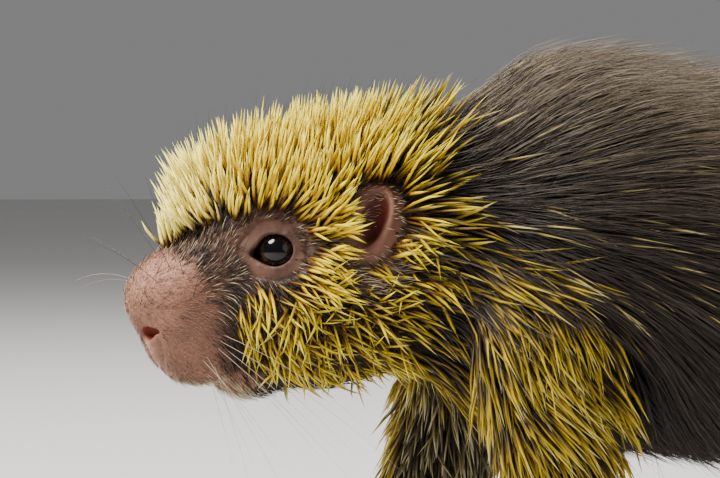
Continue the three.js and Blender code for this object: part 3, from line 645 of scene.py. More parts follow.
class Finish:
    def __init__(self, name, **sockets):
        self.material = bpy.data.materials.new(name)
        self.material.use_nodes = True
        self.tree = self.material.node_tree
        self.shader = self.tree.nodes["Principled BSDF"]
        self.set(**sockets)

    def put(self, socket, value):
        if isinstance(value, Wire):
            self.tree.links.new(value.socket, socket)
        else:
            socket.default_value = value

    def set(self, **sockets):
        for key, value in sockets.items():
            self.put(self.shader.inputs[key.replace("_", " ")], value)

    def node(self, kind, settings=None, values=None, output=0):
        made = self.tree.nodes.new(kind)
        for key, value in (settings or {}).items():
            if key == "stops":
                stops = made.color_ramp.elements
                while len(stops) < len(value):
                    stops.new(0.5)
                for stop, (place, colour) in zip(stops, value):
                    stop.position = place
                    stop.color = (*colour, 1)
            else:
                setattr(made, key, value)
        for key, value in (values or {}).items():
            self.put(made.inputs[key], value)
        return Wire(self, made.outputs[output])

    def attribute(self, name):
        return self.node("ShaderNodeAttribute", {"attribute_name": name}, output="Fac")

    def place(self):
        return self.node("ShaderNodeTexCoord", output="Object")

    def noise(self, scale, detail=2.0):
        values = {"Vector": self.place(), "Scale": scale, "Detail": detail}
        return self.node("ShaderNodeTexNoise", None, values, "Fac")

    def cells(self, scale, feature):
        values = {"Vector": self.place(), "Scale": scale}
        return self.node("ShaderNodeTexVoronoi", {"feature": feature}, values, "Distance")

    def remap(self, value, low, high, newLow=0.0, newHigh=1.0):
        return self.node("ShaderNodeMapRange", {"interpolation_type": "SMOOTHSTEP"},
                         {0: value, 1: low, 2: high, 3: newLow, 4: newHigh})

    def ramp(self, value, stops):
        return self.node("ShaderNodeValToRGB", {"stops": stops}, {0: value}, "Color")

    def mix(self, factor, a, b, blend="MIX"):
        a, b = [(*c, 1) if isinstance(c, tuple) else c for c in (a, b)]
        settings = {"data_type": "RGBA", "blend_type": blend}
        return self.node("ShaderNodeMix", settings, {0: factor, 6: a, 7: b}, 2)

    def shaded(self, colour, shade):
        grey = self.node("ShaderNodeCombineColor", None, {0: shade, 1: shade, 2: shade})
        return self.mix(1.0, colour, grey, "MULTIPLY")

    def bump(self, height, strength, distance):
        values = {"Height": height, "Strength": strength, "Distance": distance}
        return self.node("ShaderNodeBump", None, values)

    def strands(self, colour, shades, gloss):
        # Each hair has a shade and a roughness of its own
        tint = self.attribute("tint")
        self.set(Base_Color=self.shaded(colour, self.remap(tint, 0, 1, *shades)),
                 Roughness=self.remap(tint, 0, 1, *gloss))
        return self.material


skinTones = {
    "muzzle": ((0.118, 0.050, 0.032), (0.245, 0.112, 0.072)),
    # Painted highlight on the top of the nose; the front of the chin gets it more faintly
    "noseTop": (0.45, 0.222, 0.148),
    "face": ((0.050, 0.022, 0.013), (0.115, 0.054, 0.034)),
    "lids": ((0.044, 0.018, 0.011), (0.104, 0.046, 0.030)),
    "mottle": (0.085, 0.042, 0.032),
    # Painted shadow from the brow over the upper part of the ring round the eye
    "brow": (0.072, 0.032, 0.021),
    # Painted highlight on a pale ridge below each nostril
    "ridge": (0.56, 0.33, 0.25),
    "red": (0.23, 0.034, 0.020),
    "rim": (0.010, 0.006, 0.005),
    "underQuills": (0.040, 0.024, 0.010),
    "underFur": (0.020, 0.015, 0.012),
    "paw": ((0.06, 0.040, 0.034), (0.13, 0.085, 0.070)),
    "earIn": (0.070, 0.010, 0.006),
    "earRim": (0.17, 0.072, 0.050),
}


def skinFinish():
    f = Finish("bareSkin", Specular_IOR_Level=0.3, Subsurface_Weight=0.08,
               Subsurface_Radius=(0.003, 0.0012, 0.0008), Subsurface_Scale=1.0)
    tone = skinTones
    mottle, fine, coarse = f.noise(110, 5), f.noise(900, 3), f.noise(45, 3)
    blotch = f.remap(mottle, 0.36, 0.64)
    colour = f.mix(f.attribute("gold"), tone["underFur"], tone["underQuills"])
    colour = f.mix(f.attribute("face"), colour, f.mix(blotch, *tone["face"]))
    bare = f.mix(f.remap(coarse, 0.35, 0.65), *tone["muzzle"])
    # Painted highlight, mottled, on the top of the nose, and a lighter front of the chin
    bare = f.mix(f.attribute("noseTop") * f.remap(mottle, 0.3, 0.7, 0.55, 1.0), bare, tone["noseTop"])
    bare = f.mix(f.remap(mottle, 0.50, 0.70) * 0.42, bare, tone["mottle"])
    colour = f.mix(f.attribute("muzzle"), colour, bare)
    colour = f.mix(f.attribute("lids"), colour, f.mix(blotch, *tone["lids"]))
    # Painted shadow from the brow over the upper part of the ring round the eye
    colour = f.mix(f.attribute("brow") * 0.8, colour, tone["brow"])
    # Painted highlight on the pale ridge below each nostril
    colour = f.mix(f.attribute("ridge") * 0.75, colour, tone["ridge"])
    colour = f.mix(f.attribute("paw"), colour, f.mix(blotch, *tone["paw"]))
    for name in ("earRim", "earIn", "red", "rim"):
        colour = f.mix(f.attribute(name), colour, tone[name])
    scales = f.cells(520, "DISTANCE_TO_EDGE")
    wrinkles = f.cells(330, "SMOOTH_F1")
    height = fine * 0.5 + wrinkles * f.attribute("lids") * 2.4 + mottle * 1.1
    height = height + f.remap(scales, 0.0, 0.12) * f.attribute("paw") * 0.8
    rough = f.remap(fine, 0.2, 0.8, 0.52, 0.72) + f.attribute("brow") * 0.22 - f.attribute("rim") * 0.35
    f.set(Base_Color=colour, Roughness=rough, Normal=f.bump(height, 0.55, 0.0005))
    return f.material


def quillFinish(name, stops, pale=(0.8, 0.7, 0.3), shades=(0.6, 1.15)):
    f = Finish(name, IOR=1.5, Specular_IOR_Level=0.25, Subsurface_Weight=0.06,
               Subsurface_Radius=(0.002, 0.0014, 0.0004))
    along = f.attribute("along")
    colour = f.ramp(along + (f.attribute("tint") - 0.5) * 0.2, stops)
    olive = f.remap(f.attribute("hue"), 0.5, 1.0)
    colour = f.mix(olive * 0.55, colour, f.mix(1.0, colour, (0.62, 0.66, 0.5), "MULTIPLY"))
    colour = f.mix(f.attribute("pale") * f.remap(along, 0.12, 0.5), colour, pale)
    return f.strands(colour, shades, (0.40, 0.55))


def furFinish(name, stops, shades=(0.6, 1.3), topTipColour=None):
    f = Finish(name, IOR=1.5, Specular_IOR_Level=0.4)
    along = f.attribute("along")
    colour = f.ramp(along, stops)
    # Paler hair tips on the top of the back
    if topTipColour:
        colour = f.mix(f.attribute("frosted") * f.remap(along, 0.45, 0.95), colour, topTipColour)
    return f.strands(colour, shades, (0.44, 0.62))


eyeTones = {"pupil": (0.0012, 0.0010, 0.0010), "iris": ((0.010, 0.005, 0.003), (0.036, 0.019, 0.011)),
            "rim": (0.004, 0.0025, 0.002)}


def eyeFinish():
    f = Finish("wetEye", IOR=1.36, Specular_IOR_Level=0.2,
               Coat_Weight=1.0, Coat_Roughness=0.015, Coat_IOR=1.32)
    radial, streak = f.attribute("radial"), f.noise(1300, 3)
    iris = f.mix(f.remap(streak, 0.35, 0.65), *eyeTones["iris"])
    colour = f.mix(f.remap(radial, 0.50, 0.60), eyeTones["pupil"], iris)
    colour = f.mix(f.remap(radial, 0.74, 0.92), colour, eyeTones["rim"])
    f.set(Base_Color=colour, Roughness=0.15)
    return f.material


clawTones = {"root": (0.11, 0.075, 0.05), "tip": (0.34, 0.27, 0.19), "grain": (0.06, 0.04, 0.03)}


def clawFinish():
    f = Finish("clawHorn", IOR=1.5, Subsurface_Weight=0.1, Subsurface_Radius=(0.001, 0.0006, 0.0004))
    grain = f.noise(1500, 3)
    colour = f.mix(f.attribute("along"), clawTones["root"], clawTones["tip"])
    f.set(Base_Color=f.mix(grain * 0.4, colour, clawTones["grain"]),
          Roughness=f.remap(grain, 0.3, 0.7, 0.28, 0.45), Normal=f.bump(grain, 0.3, 0.0002))
    return f.material


def whiskerFinish(name, colour):
    f = Finish(name, IOR=1.5, Roughness=0.35)
    f.set(Base_Color=f.mix(f.noise(60), colour, tuple(c * 0.6 for c in colour)))
    return f.material


# Coat: where it grows
seeds = np.random.default_rng(20)
triangleCorners = skinPoints[skinTriangles]
firstCorner = triangleCorners[:, 0]
triangleCross = np.cross(triangleCorners[:, 1] - firstCorner, triangleCorners[:, 2] - firstCorner)
triangleArea = lengthOf(triangleCross) / 2
mid = triangleCorners.mean(1)
facing = triangleCross / np.maximum(2 * triangleArea[:, None], 1e-9)
midY, midZ = mid[:, 1], mid[:, 2]
trianglePart = bodyPart(mid)
cellRow, spareRoots = 4096, 2.4


def cellKeys(places):
    # The same number for all places in one cell of the size 1
    cell = np.floor(places).astype(np.int64)
    return (cell[:, 0] * cellRow + cell[:, 1]) * cellRow + cell[:, 2]


def spreadRoots(density, spacing):
    # density is hairs per square millimetre for each triangle of the skin, and spacing evens them out
    wanted = triangleArea * density
    total = int(wanted.sum() * spareRoots)
    chosen = seeds.choice(len(wanted), size=total, p=wanted / wanted.sum())
    u, v = seeds.random((2, total))
    fold = u + v > 1
    u[fold], v[fold] = 1 - u[fold], 1 - v[fold]
    a, b, c = (triangleCorners[chosen, k] for k in range(3))
    points = a + (b - a) * u[:, None] + (c - a) * v[:, None]
    _, first = np.unique(cellKeys(points / spacing), return_index=True)
    first = seeds.permutation(first)[:int(wanted.sum())]
    return points[first], trianglePart[chosen[first]]


def coatField(p):
    field = smoothMin(trunkField(p), joined(p, jawForms, blends["head"]), blends["jaw"])
    for name in limbs:
        field = smoothMin(field, tubeField(p, tubes[name]), blends["limb"])
    return field


def partField(part):
    if part == 0:
        return coatField
    return lambda p: tubeField(p, tubes[tubeNames[part - 1]])


# Coat: which way it lies. On the head it follows guides, each with its Y and Z and a heading in degrees,
# where 0 is towards the tail and 90 is up. Behind the head it turns down towards the flanks.
guides = [
    (-152, 119, 100), (-147, 125, 84), (-141, 131, 68), (-139, 124, 66), (-128, 138, 45), (-125, 130, 46),
    (-112, 134, 32), (-100, 138, 20), (-132, 123, 34), (-120, 126, 8), (-108, 124, -10), (-112, 116, -34),
    (-100, 110, -22), (-124, 106, -42), (-133, 99, -82), (-128, 90, -82), (-118, 93, -62), (-108, 98, -40),
    (-98, 90, -42), (-90, 104, -25), (-86, 122, -6), (-84, 142, 12), (-80, 96, -38), (-112, 80, -25),
    (-143, 113, 62), (-143, 107, 20), (-141, 99, -35), (-140, 90, -60), (-152, 110, 50), (-154, 100, 10),
    (-152, 90, -50), (-132, 78, -50), (-158, 116, 80), (-164, 102, 60), (-160, 92, -60),
]
guideReach = 6.0
# How much the legs' coat sweeps towards the tail
legSweep = 0.45


def headLie(p):
    total = np.zeros((len(p), 3))
    for y, z, degrees in guides:
        away = (p[:, 1] - y) ** 2 + (p[:, 2] - z) ** 2
        heading = [0, math.cos(math.radians(degrees)), math.sin(math.radians(degrees))]
        total += (np.exp(-away / (2 * guideReach**2)) + 1e-9)[:, None] * heading
    return unit(total)


def onTube(p, part):
    # The points of the tube, and how far along it each place is, as a whole number too
    tube = tubes[tubeNames[part - 1]]
    place = tubeField(p, tube, "place")
    return tube["points"], place, np.clip(place.astype(int), 0, len(tube["points"]) - 2)


def lieOf(p, normal, part):
    if part == 0:
        flank = np.abs(normal[:, 0])
        fall = lerp(1.15, -0.05, overZ(p, 84, 138))
        fall = lerp(fall, 0.12 + 0.5 * flank, overY(p, -50, 30))
        back = unit(np.stack([np.zeros(len(p)), np.ones(len(p)), -fall], 1))
        lie = lerp(headLie(p), back, overY(p, -92, -74)[:, None])
    else:
        points, _, i = onTube(p, part)
        lie = unit(points[i + 1] - points[i]) + (part < tailPart) * np.array([0, legSweep, 0])
    return unit(lie - normal * (lie * normal).sum(1)[:, None])


# How far the lie wanders from side to side: in long waves, in cross waves, and tousled on the head, where
# it is calmest at the edge of the quills
wander = {"long": 0.16, "cross": 0.12, "tousled": 0.38, "calmest": 0.35}


def combed(roots, part, length, lift, droop, sway, steps):
    # Each hair starts at its lift from the skin and droops towards the lie as it grows
    field = partField(part)
    paths = [roots]
    p = roots
    x, y, z = roots.T
    wave = wander["long"] * np.sin(y / 13 + z / 9) + wander["cross"] * np.sin(x / 7 - z / 6)
    if part == 0:
        calm = lerp(wander["calmest"], 1.0, smoothstep(insideQuills(roots), 0, 8))
        tousled = np.sin(y / 2.6 + x / 3.3) * np.cos(z / 3.1 - x / 5)
        wave = wave + wander["tousled"] * tousled * overY(roots, -76, -94) * calm
    else:
        calm = 1.0
    turn = seeds.normal(0, sway, len(roots)) * calm + wave
    tilt = seeds.normal(0, sway * 0.5, len(roots))
    for i in range(steps):
        normal = unit(slopeOf(field, p, step=0.6))
        lie = lieOf(p, normal, part)
        side = np.cross(lie, normal)
        angle = (lift + tilt) * (1 - droop * (i + 0.5) / steps)
        heading = lie * np.cos(turn)[:, None] + side * np.sin(turn)[:, None]
        heading = heading * np.cos(angle)[:, None] + normal * np.sin(angle)[:, None]
        p = p + heading * (length / steps)[:, None]
        paths.append(p)
    return np.stack(paths, 1)


def clumped(paths, size, amount):
    _, group = np.unique(cellKeys(paths[:, 0] / size + seeds.random(3)), return_inverse=True)
    counts = np.bincount(group)
    t = np.linspace(0, 1, paths.shape[1])[None, :, None] ** 1.5
    middle = np.empty((len(counts), *paths.shape[1:]))
    for i in range(paths.shape[1]):
        for k in range(3):
            middle[:, i, k] = np.bincount(group, weights=paths[:, i, k]) / counts
    return lerp(paths, middle[group], t * amount)


earHollow = {"at": (2.4, -2.4, 2), "size": (3.4, 6.2, 5)}
eyeClearance = 2.0


def clearOfFace(paths):
    # Keeps hairs out of the eyeball and out of the hollow of the ear
    keep = np.ones(len(paths), dtype=bool)
    for i in range(1, paths.shape[1]):
        hollow = lengthOf((earSpace(paths[:, i]) - earHollow["at"]) / earHollow["size"])
        keep &= (lengthOf(eyeSpace(paths[:, i])) > eye["radius"] + eyeClearance) & (hollow > 1)
    return keep


# A flat layout of the skin: round the trunk and along it, with a strip for each limb and the tail.
# A rectangle has its left, bottom, width and height.
trunkMap, stripMap, stripPitch = (0.01, 0.02, 0.98, 0.66), (0.01, 0.71, 0.18, 0.27), 0.2
trunkAxis, trunkStart, trunkLength = 100, -170, 310
# The size of a hair's own patch on that layout
patch = 0.003


def onMap(rectangle, across, up):
    left, bottom, width, height = rectangle
    return np.stack([left + width * across, bottom + height * up], 1)


def unwrapped(p, part):
    if part == 0:
        turn = np.arctan2(p[:, 0], p[:, 2] - trunkAxis) / (2 * math.pi) + 0.5
        return onMap(trunkMap, turn, (p[:, 1] - trunkStart) / trunkLength)
    points, place, i = onTube(p, part)
    middle = lerp(points[i], points[i + 1], (place - i)[:, None])
    around = np.arctan2(p[:, 0] - middle[:, 0], middle[:, 1] - p[:, 1] + middle[:, 2] - p[:, 2])
    layout = onMap(stripMap, around / (2 * math.pi) + 0.5, place / len(points))
    return layout + [(part - 1) * stripPitch, 0]


# The thinnest and the thickest hair of a kind, as shares of its radius
thicknesses = (0.72, 1.25)


def strandMesh(name, groups, thickness, profile, sides, material):
    # groups holds the paths of each part of the body; every strand is a closed spindle that ends in a point
    allPoints, allLayout, along = [], [], []
    marks = {"pale": [], "frosted": [], "tint": [], "hue": []}
    count = sum(len(paths) for paths, part in groups)
    rings = groups[0][0].shape[1] - 1
    stride = rings * sides + 1
    turn = 2 * math.pi * np.arange(sides) / sides
    across = np.append(np.tile(np.arange(sides) / (sides - 1) - 0.5, rings), 0.0)
    up = np.append(np.repeat(np.arange(rings) / rings, sides), 1.0) - 0.5
    for paths, part in groups:
        n = len(paths)
        step = np.diff(paths, axis=1)
        tangent = unit(np.concatenate([step[:, :1], (step[:, 1:] + step[:, :-1]) / 2, step[:, -1:]], 1))
        side = unit(np.cross(tangent, unit(seeds.normal(0, 1, (n, 1, 3)))))
        other = np.cross(tangent, side)
        size = thickness * seeds.uniform(*thicknesses, (n, 1)) * np.asarray(profile)[None, :rings]
        ring = side[:, :rings, None] * np.cos(turn)[:, None] + other[:, :rings, None] * np.sin(turn)[:, None]
        body = paths[:, :rings, None] + size[:, :, None, None] * ring
        body = body.reshape(n, rings * sides, 3)
        allPoints.append(np.concatenate([body, paths[:, -1:]], 1).reshape(-1, 3))
        layout = unwrapped(paths[:, 0], part)
        allLayout.append((layout[:, None] + patch * np.stack([across, up], 1)[None]).reshape(-1, 2))
        marked = markings(paths[:, 0], np.full(n, part))
        for key in ("pale", "frosted"):
            marks[key].append(np.repeat(marked[key], stride))
        for key in ("tint", "hue"):
            marks[key].append(np.repeat(seeds.random(n), stride))
        along.append(np.tile(up + 0.5, n))
    offset = (np.arange(count) * stride)[:, None, None]
    faces = [(face + offset).reshape(-1, face.shape[1]) for face in spindleFaces(sides, rings)]
    attributes = {key: np.concatenate(values) for key, values in marks.items()}
    attributes["along"] = np.concatenate(along)
    made = makeMesh(name, np.concatenate(allPoints), faces, attributes, material)
    layOut(made, np.concatenate(allLayout))
    triangles = sum((face.shape[1] - 2) * len(face) for face in faces)
    print(name, count, "strands", triangles, "triangles")
    return made


coat = {}


def grow(name, density, look, length, lift, material):
    # length and lift are functions of the roots and their part of the body
    points, parts = spreadRoots(density, look["spacing"])
    groups = []
    for part in range(tailPart + 1):
        roots = points[parts == part]
        if not len(roots):
            continue
        longs = length(roots, part) * seeds.uniform(*look["lengths"], len(roots))
        paths = combed(roots, part, longs, lift(roots, part), look["droop"], look["sway"], look["steps"])
        if "clump" in look:
            paths = clumped(paths, *look["clump"])
        if part == 0:
            paths = paths[clearOfFace(paths)]
        paths[:, :, 2] = np.maximum(paths[:, :, 2], 0.4)
        groups.append((paths, part))
    coat[name] = strandMesh(name, groups, look["radius"], look["profile"], look["sides"], material)


def steady(value):
    return lambda p, part: np.full(len(p), value)


def scaled(measure, factor):
    return lambda p, part: measure(p, part) * factor


# Hairs per square millimetre where each kind is thickest
thickest = {"crown": 0.66, "cheek": 0.42, "foreleg": 0.40, "shoulder": 0.18, "innerLeg": 0.6, "head": 0.6,
            "crownHairs": 0.18, "velvet": 2.6, "foot": 1.4}

trunk = trianglePart == 0
frontLeg, hindLeg = np.isin(trianglePart, forelegParts), np.isin(trianglePart, hindlegParts)
marked = markings(mid, trianglePart)
eyeClear = smoothstep(besideEye(mid), 0.9, 1.12)
earClear = smoothstep(besideEar(mid), 0.95, 1.15)
thinned = lerp(0.08, 1.0, smoothstep(belowEar(mid), 0.7, 1.2))
headQuilled = trunk * quilled(mid) * eyeClear * earClear
throat = overZ(mid, 89, 81) * (midY < -84)

# Quills of head and neck
quillTones = {
    "lemon": [(0.0, (0.07, 0.026, 0.004)), (0.22, (0.20, 0.092, 0.006)), (0.46, (0.70, 0.46, 0.006)),
              (0.8, (0.92, 0.72, 0.014)), (1.0, (0.96, 0.84, 0.16))],
    "cheek": [(0.0, (0.05, 0.020, 0.004)), (0.32, (0.13, 0.062, 0.005)), (0.56, (0.50, 0.335, 0.007)),
              (0.82, (0.80, 0.62, 0.016)), (1.0, (0.94, 0.84, 0.30))],
    "golden": [(0.0, (0.020, 0.011, 0.006)), (0.42, (0.045, 0.025, 0.005)), (0.64, (0.24, 0.150, 0.006)),
               (0.84, (0.52, 0.375, 0.010)), (1.0, (0.86, 0.74, 0.28))],
    # Painted shade: a muted, greyer copy of the golden quills, for the inner sides of the forelegs
    "shadedTan": [(0.0, (0.018, 0.013, 0.009)), (0.42, (0.045, 0.033, 0.018)), (0.7, (0.21, 0.165, 0.070)),
            (1.0, (0.60, 0.54, 0.34))],
    "banded": [(0.0, (0.03, 0.022, 0.016)), (0.66, (0.04, 0.028, 0.018)), (0.76, (0.50, 0.39, 0.10)),
               (0.92, (0.80, 0.68, 0.30)), (1.0, (0.12, 0.08, 0.05))],
}
lemonQuill = quillFinish("quillLemon", quillTones["lemon"], (1.0, 0.90, 0.24), (0.88, 1.2))
cheekQuill = quillFinish("quillCheek", quillTones["cheek"])
goldenQuill = quillFinish("quillGolden", quillTones["golden"])
# The golden quills' muted copy, as painted shade
shadedTanQuill = quillFinish("quillShadedTan", quillTones["shadedTan"])
bandedQuill = quillFinish("quillBanded", quillTones["banded"], shades=(0.8, 1.1))

quill = {"spacing": 0.95, "droop": 0.15, "sway": 0.2, "steps": 3, "radius": 0.5, "profile": (0.7, 1.0, 0.78),
         "sides": 4, "lengths": (0.8, 1.12)}


def headLength(p, part):
    back = overY(p, -98, -66)
    low = overZ(p, 114, 100)
    inset = smoothstep(insideQuills(p), -1, 8)
    foremost = overY(p, -136, -148) * overZ(p, 112, 120)
    byEar = lerp(0.5, 1.0, smoothstep(belowEar(p), 1.0, 1.8))
    return lerp(lerp(8.0, 15.5, inset) * lerp(1.0, 0.78, low), 25, back) * byEar + 3.0 * foremost


def headLift(p, part):
    top = overZ(p, 118, 136)
    upright = lerp(1.4, 0.62, overY(p, -106, -68))
    front = overY(p, -126, -145) * overZ(p, 112, 120)
    return np.maximum(lerp(0.42, upright, top), lerp(0.42, 1.38, front))


upperHead = overZ(mid, 106, 111)
crownDensity = thickest["crown"] * headQuilled * upperHead * (1 - overY(mid, -100, -80)) * marked["gold"]
crownDensity = crownDensity * thinned
lowCheek = lerp(1.0, 0.7, overZ(mid, 102, 90))
cheekDensity = thickest["cheek"] * lowCheek * headQuilled * (1 - upperHead) * (1 - overY(mid, -98, -88))
cheekDensity = cheekDensity * thinned * (1 - throat)
nape = overY(mid, -100, -90) * lerp(0.34, 0.18, overY(mid, -92, -66))
neckDensity = headQuilled * nape * marked["gold"] * lerp(1.0, 0.4, overZ(mid, 118, 102)) * (1 - throat)
crown = {**quill, "spacing": 0.85, "radius": 0.45, "sway": 0.4, "clump": (4.2, 0.36),
         "lengths": (0.55, 1.25)}
grow("crownQuills", crownDensity, crown, headLength, headLift, lemonQuill)
grow("cheekQuills", cheekDensity, {**quill, "radius": 0.38, "sway": 0.55}, headLength, headLift, cheekQuill)
grow("neckQuills", neckDensity, {**quill, "spacing": 1.2}, headLength, headLift, goldenQuill)


# Shoulders and upper forelegs: longer golden quills that thin out among the dark fur
def shoulderLength(p, part):
    if part:
        return lerp(16.0, 25.0, overZ(p, 36, 84))
    return lerp(25.0, 34.0, overZ(p, 100, 145))


def shoulderLift(p, part):
    return np.full(len(p), 0.34 if part else 0.48)


# The side of a limb that faces the body's middle, whose quills get painted shade
innerSide = smoothstep(facing[:, 0] * np.sign(mid[:, 0]), 0.1, -0.4)
legDensity = thickest["foreleg"] * frontLeg * marked["gold"] * overZ(mid, 26, 50)
strayDensity = trunk * overY(mid, -96, -78) * lerp(0.036, 0.010, overY(mid, -45, -20))
strayDensity = strayDensity * overY(mid, 50, -10) * overZ(mid, 98, 118)
shoulderDensity = thickest["shoulder"] * trunk * (midY >= -78) * marked["gold"] * overZ(mid, 60, 78)
shoulderDensity = shoulderDensity + legDensity * (1 - innerSide)
innerDensity = thickest["innerLeg"] * legDensity * innerSide
shoulder = {**quill, "spacing": 1.4, "sway": 0.14, "droop": 0.4}
inner = {**shoulder, "sway": 0.2}
banded = {**quill, "spacing": 4.0, "sway": 0.12, "droop": 0.5, "radius": 0.40}
grow("shoulderQuills", shoulderDensity, shoulder, shoulderLength, shoulderLift, goldenQuill)
# The forelegs' inner sides get the muted copy of the golden quills as painted shade
grow("innerQuills", innerDensity, inner, scaled(shoulderLength, 0.8), shoulderLift, shadedTanQuill)
grow("bandedQuills", strayDensity, banded, steady(34.0), steady(0.46), bandedQuill)

# Fur: long and silky on the body, short between the quills and on the legs
furTones = {
    "body": [(0.0, (0.010, 0.007, 0.006)), (0.5, (0.025, 0.017, 0.013)), (0.85, (0.076, 0.055, 0.043)),
             (1.0, (0.17, 0.131, 0.103))],
    "under": [(0.0, (0.020, 0.013, 0.008)), (0.6, (0.050, 0.032, 0.018)), (1.0, (0.12, 0.085, 0.045))],
    "pale": [(0.0, (0.20, 0.14, 0.09)), (0.4, (0.50, 0.40, 0.24)), (1.0, (0.80, 0.72, 0.50))],
    "dark": [(0.0, (0.012, 0.008, 0.007)), (1.0, (0.03, 0.020, 0.018))],
    "velvet": [(0.0, (0.20, 0.085, 0.055)), (1.0, (0.44, 0.27, 0.19))],
}
bodyFur = furFinish("furBody", furTones["body"], topTipColour=(0.40, 0.31, 0.20))
underFur = furFinish("furUnder", furTones["under"])
paleHair = furFinish("hairPale", furTones["pale"], (0.7, 1.15))
darkHair = furFinish("hairDark", furTones["dark"])
velvet = furFinish("hairVelvet", furTones["velvet"], (0.7, 1.2))

fur = {"spacing": 0.8, "droop": 0.68, "sway": 0.14, "steps": 3, "radius": 0.115, "profile": (0.9, 1.0, 0.7),
       "sides": 3, "lengths": (0.8, 1.12), "clump": (4.5, 0.3)}


def tailAt(p):
    return tubeField(p, tubes["tail"], "place")


tailPlace = np.where(trianglePart == tailPart, tailAt(mid), 0)


def furLength(p, part):
    if part == 0:
        return lerp(18.0, lerp(26.0, 46.0, overZ(p, 64, 92)), overY(p, -98, -40))
    if part == tailPart:
        return lerp(30.0, 7.0, smoothstep(tailAt(p), 4, 17))
    return lerp(7.0, 30.0 if part in hindlegParts else 13.0, overZ(p, 22, 74))


def furLift(p, part):
    if part:
        return np.full(len(p), 0.42)
    return lerp(0.5, 0.64, overZ(p, 120, 145))


furZone = trunk * overY(mid, -96, -62) * earClear + hindLeg * overZ(mid, 20, 30) * 0.9
upward = facing[:, 2] > 0.30
sideways = np.abs(facing[:, 2] + 0.1) <= 0.40
regions = {
    "backFur": (1.0, upward & (midY < 30)),
    "rumpFur": (0.8, upward & (midY >= 30)),
    "flankFurLeft": (0.85, sideways & (mid[:, 0] > 0)),
    "flankFurRight": (0.85, sideways & (mid[:, 0] <= 0)),
    "bellyFur": (0.5, facing[:, 2] < -0.50),
}
for name, (most, chosen) in regions.items():
    grow(name, most * furZone * chosen, fur, furLength, furLift, bodyFur)
short = {**fur, "steps": 2, "profile": (1.0, 0.85), "radius": 0.15}
tailZone = (trianglePart == tailPart) * smoothstep(tailPlace, 22, 12)
lowerLegs = frontLeg * overZ(mid, 12, 22) + hindLeg * overZ(mid, 12, 22) * (midZ < 30) * 0.5
headFurDensity = thickest["head"] * headQuilled * thinned * (midY < -85)
grow("tailFur", tailZone, short, furLength, furLift, bodyFur)
grow("legFur", lowerLegs, short, furLength, furLift, bodyFur)
grow("headFur", headFurDensity, {**short, "sway": 0.3}, steady(8.0), scaled(headLift, 0.8), underFur)

# Fine bristles before the eye and on the cheek's bare skin, velvet on the muzzle, short hair on the feet
lidClear = smoothstep(besideEye(mid), 0.70, 0.86)
bareFace = trunk * (1 - quilled(mid)) * smoothstep(behindMuzzle(mid), -6, 2) * (midY < -112) * lidClear
bareFace = np.maximum(bareFace, trunk * (midY < -112) * lidClear * (1 - eyeClear))
earFuzz = trunk * (1 - smoothstep(besideEar(mid), 0.95, 1.1)) * (midY < -80)
sparse = trunk * (1 - smoothstep(belowEar(mid), 0.8, 1.2)) * earClear
muzzleZone = trunk * marked["muzzle"] * (midY < -128)
fine = {**short, "spacing": 0.6, "sway": 0.22, "droop": 0.4, "radius": 0.085}
fine.pop("clump")
faceLift = steady(0.4)


def bristleLength(p, part):
    byEar = lerp(0.4, 1.0, smoothstep(besideEar(p), 1.1, 1.5))
    byEye = lerp(0.45, 1.0, smoothstep(besideEye(p), 0.85, 1.2))
    return lerp(3.5, 6.0, overY(p, -150, -132)) * byEye * byEar


nostrilRim = (3.4, 3.4, 2.8)
offNostril = smoothstep(lengthOf((mirrored(mid) - nostril["at"]) / nostrilRim), 0.9, 1.3)
lipFringe = muzzleZone * overZ(mid, 86, 82) + trunk * bell(midY, -135, 5) * (midZ < 83)
paleDensity = 0.3 * bareFace * overZ(mid, 90, 106) + 0.7 * sparse + 0.7 * lipFringe + 0.35 * earFuzz
darkDensity = 1.1 * bareFace + 0.035 * muzzleZone * offNostril * (midZ > 92)
crownHairDensity = thickest["crownHairs"] * headQuilled * (midZ > 116) * (midY < -88)
velvetDensity = thickest["velvet"] * muzzleZone * offNostril * overY(mid, -128, -134)
footTop = (frontLeg | hindLeg) * (midZ < 20) * smoothstep(facing[:, 2], 0.0, 0.4)
crownHair = {**fine, "steps": 3, "radius": 0.10, "profile": (1.0, 0.9, 0.6), "spacing": 1.0}
tiny = {**fine, "spacing": 0.45, "radius": 0.055}
grow("paleBristles", paleDensity, fine, bristleLength, faceLift, paleHair)
grow("darkBristles", darkDensity, {**fine, "radius": 0.09}, bristleLength, faceLift, darkHair)
grow("crownHairs", crownHairDensity, crownHair, scaled(headLength, 1.3), headLift, darkHair)
grow("muzzleVelvet", velvetDensity, tiny, steady(1.5), steady(0.6), velvet)
grow("footHair", thickest["foot"] * footTop, {**fine, "radius": 0.10}, steady(3.6), faceLift, darkHair)


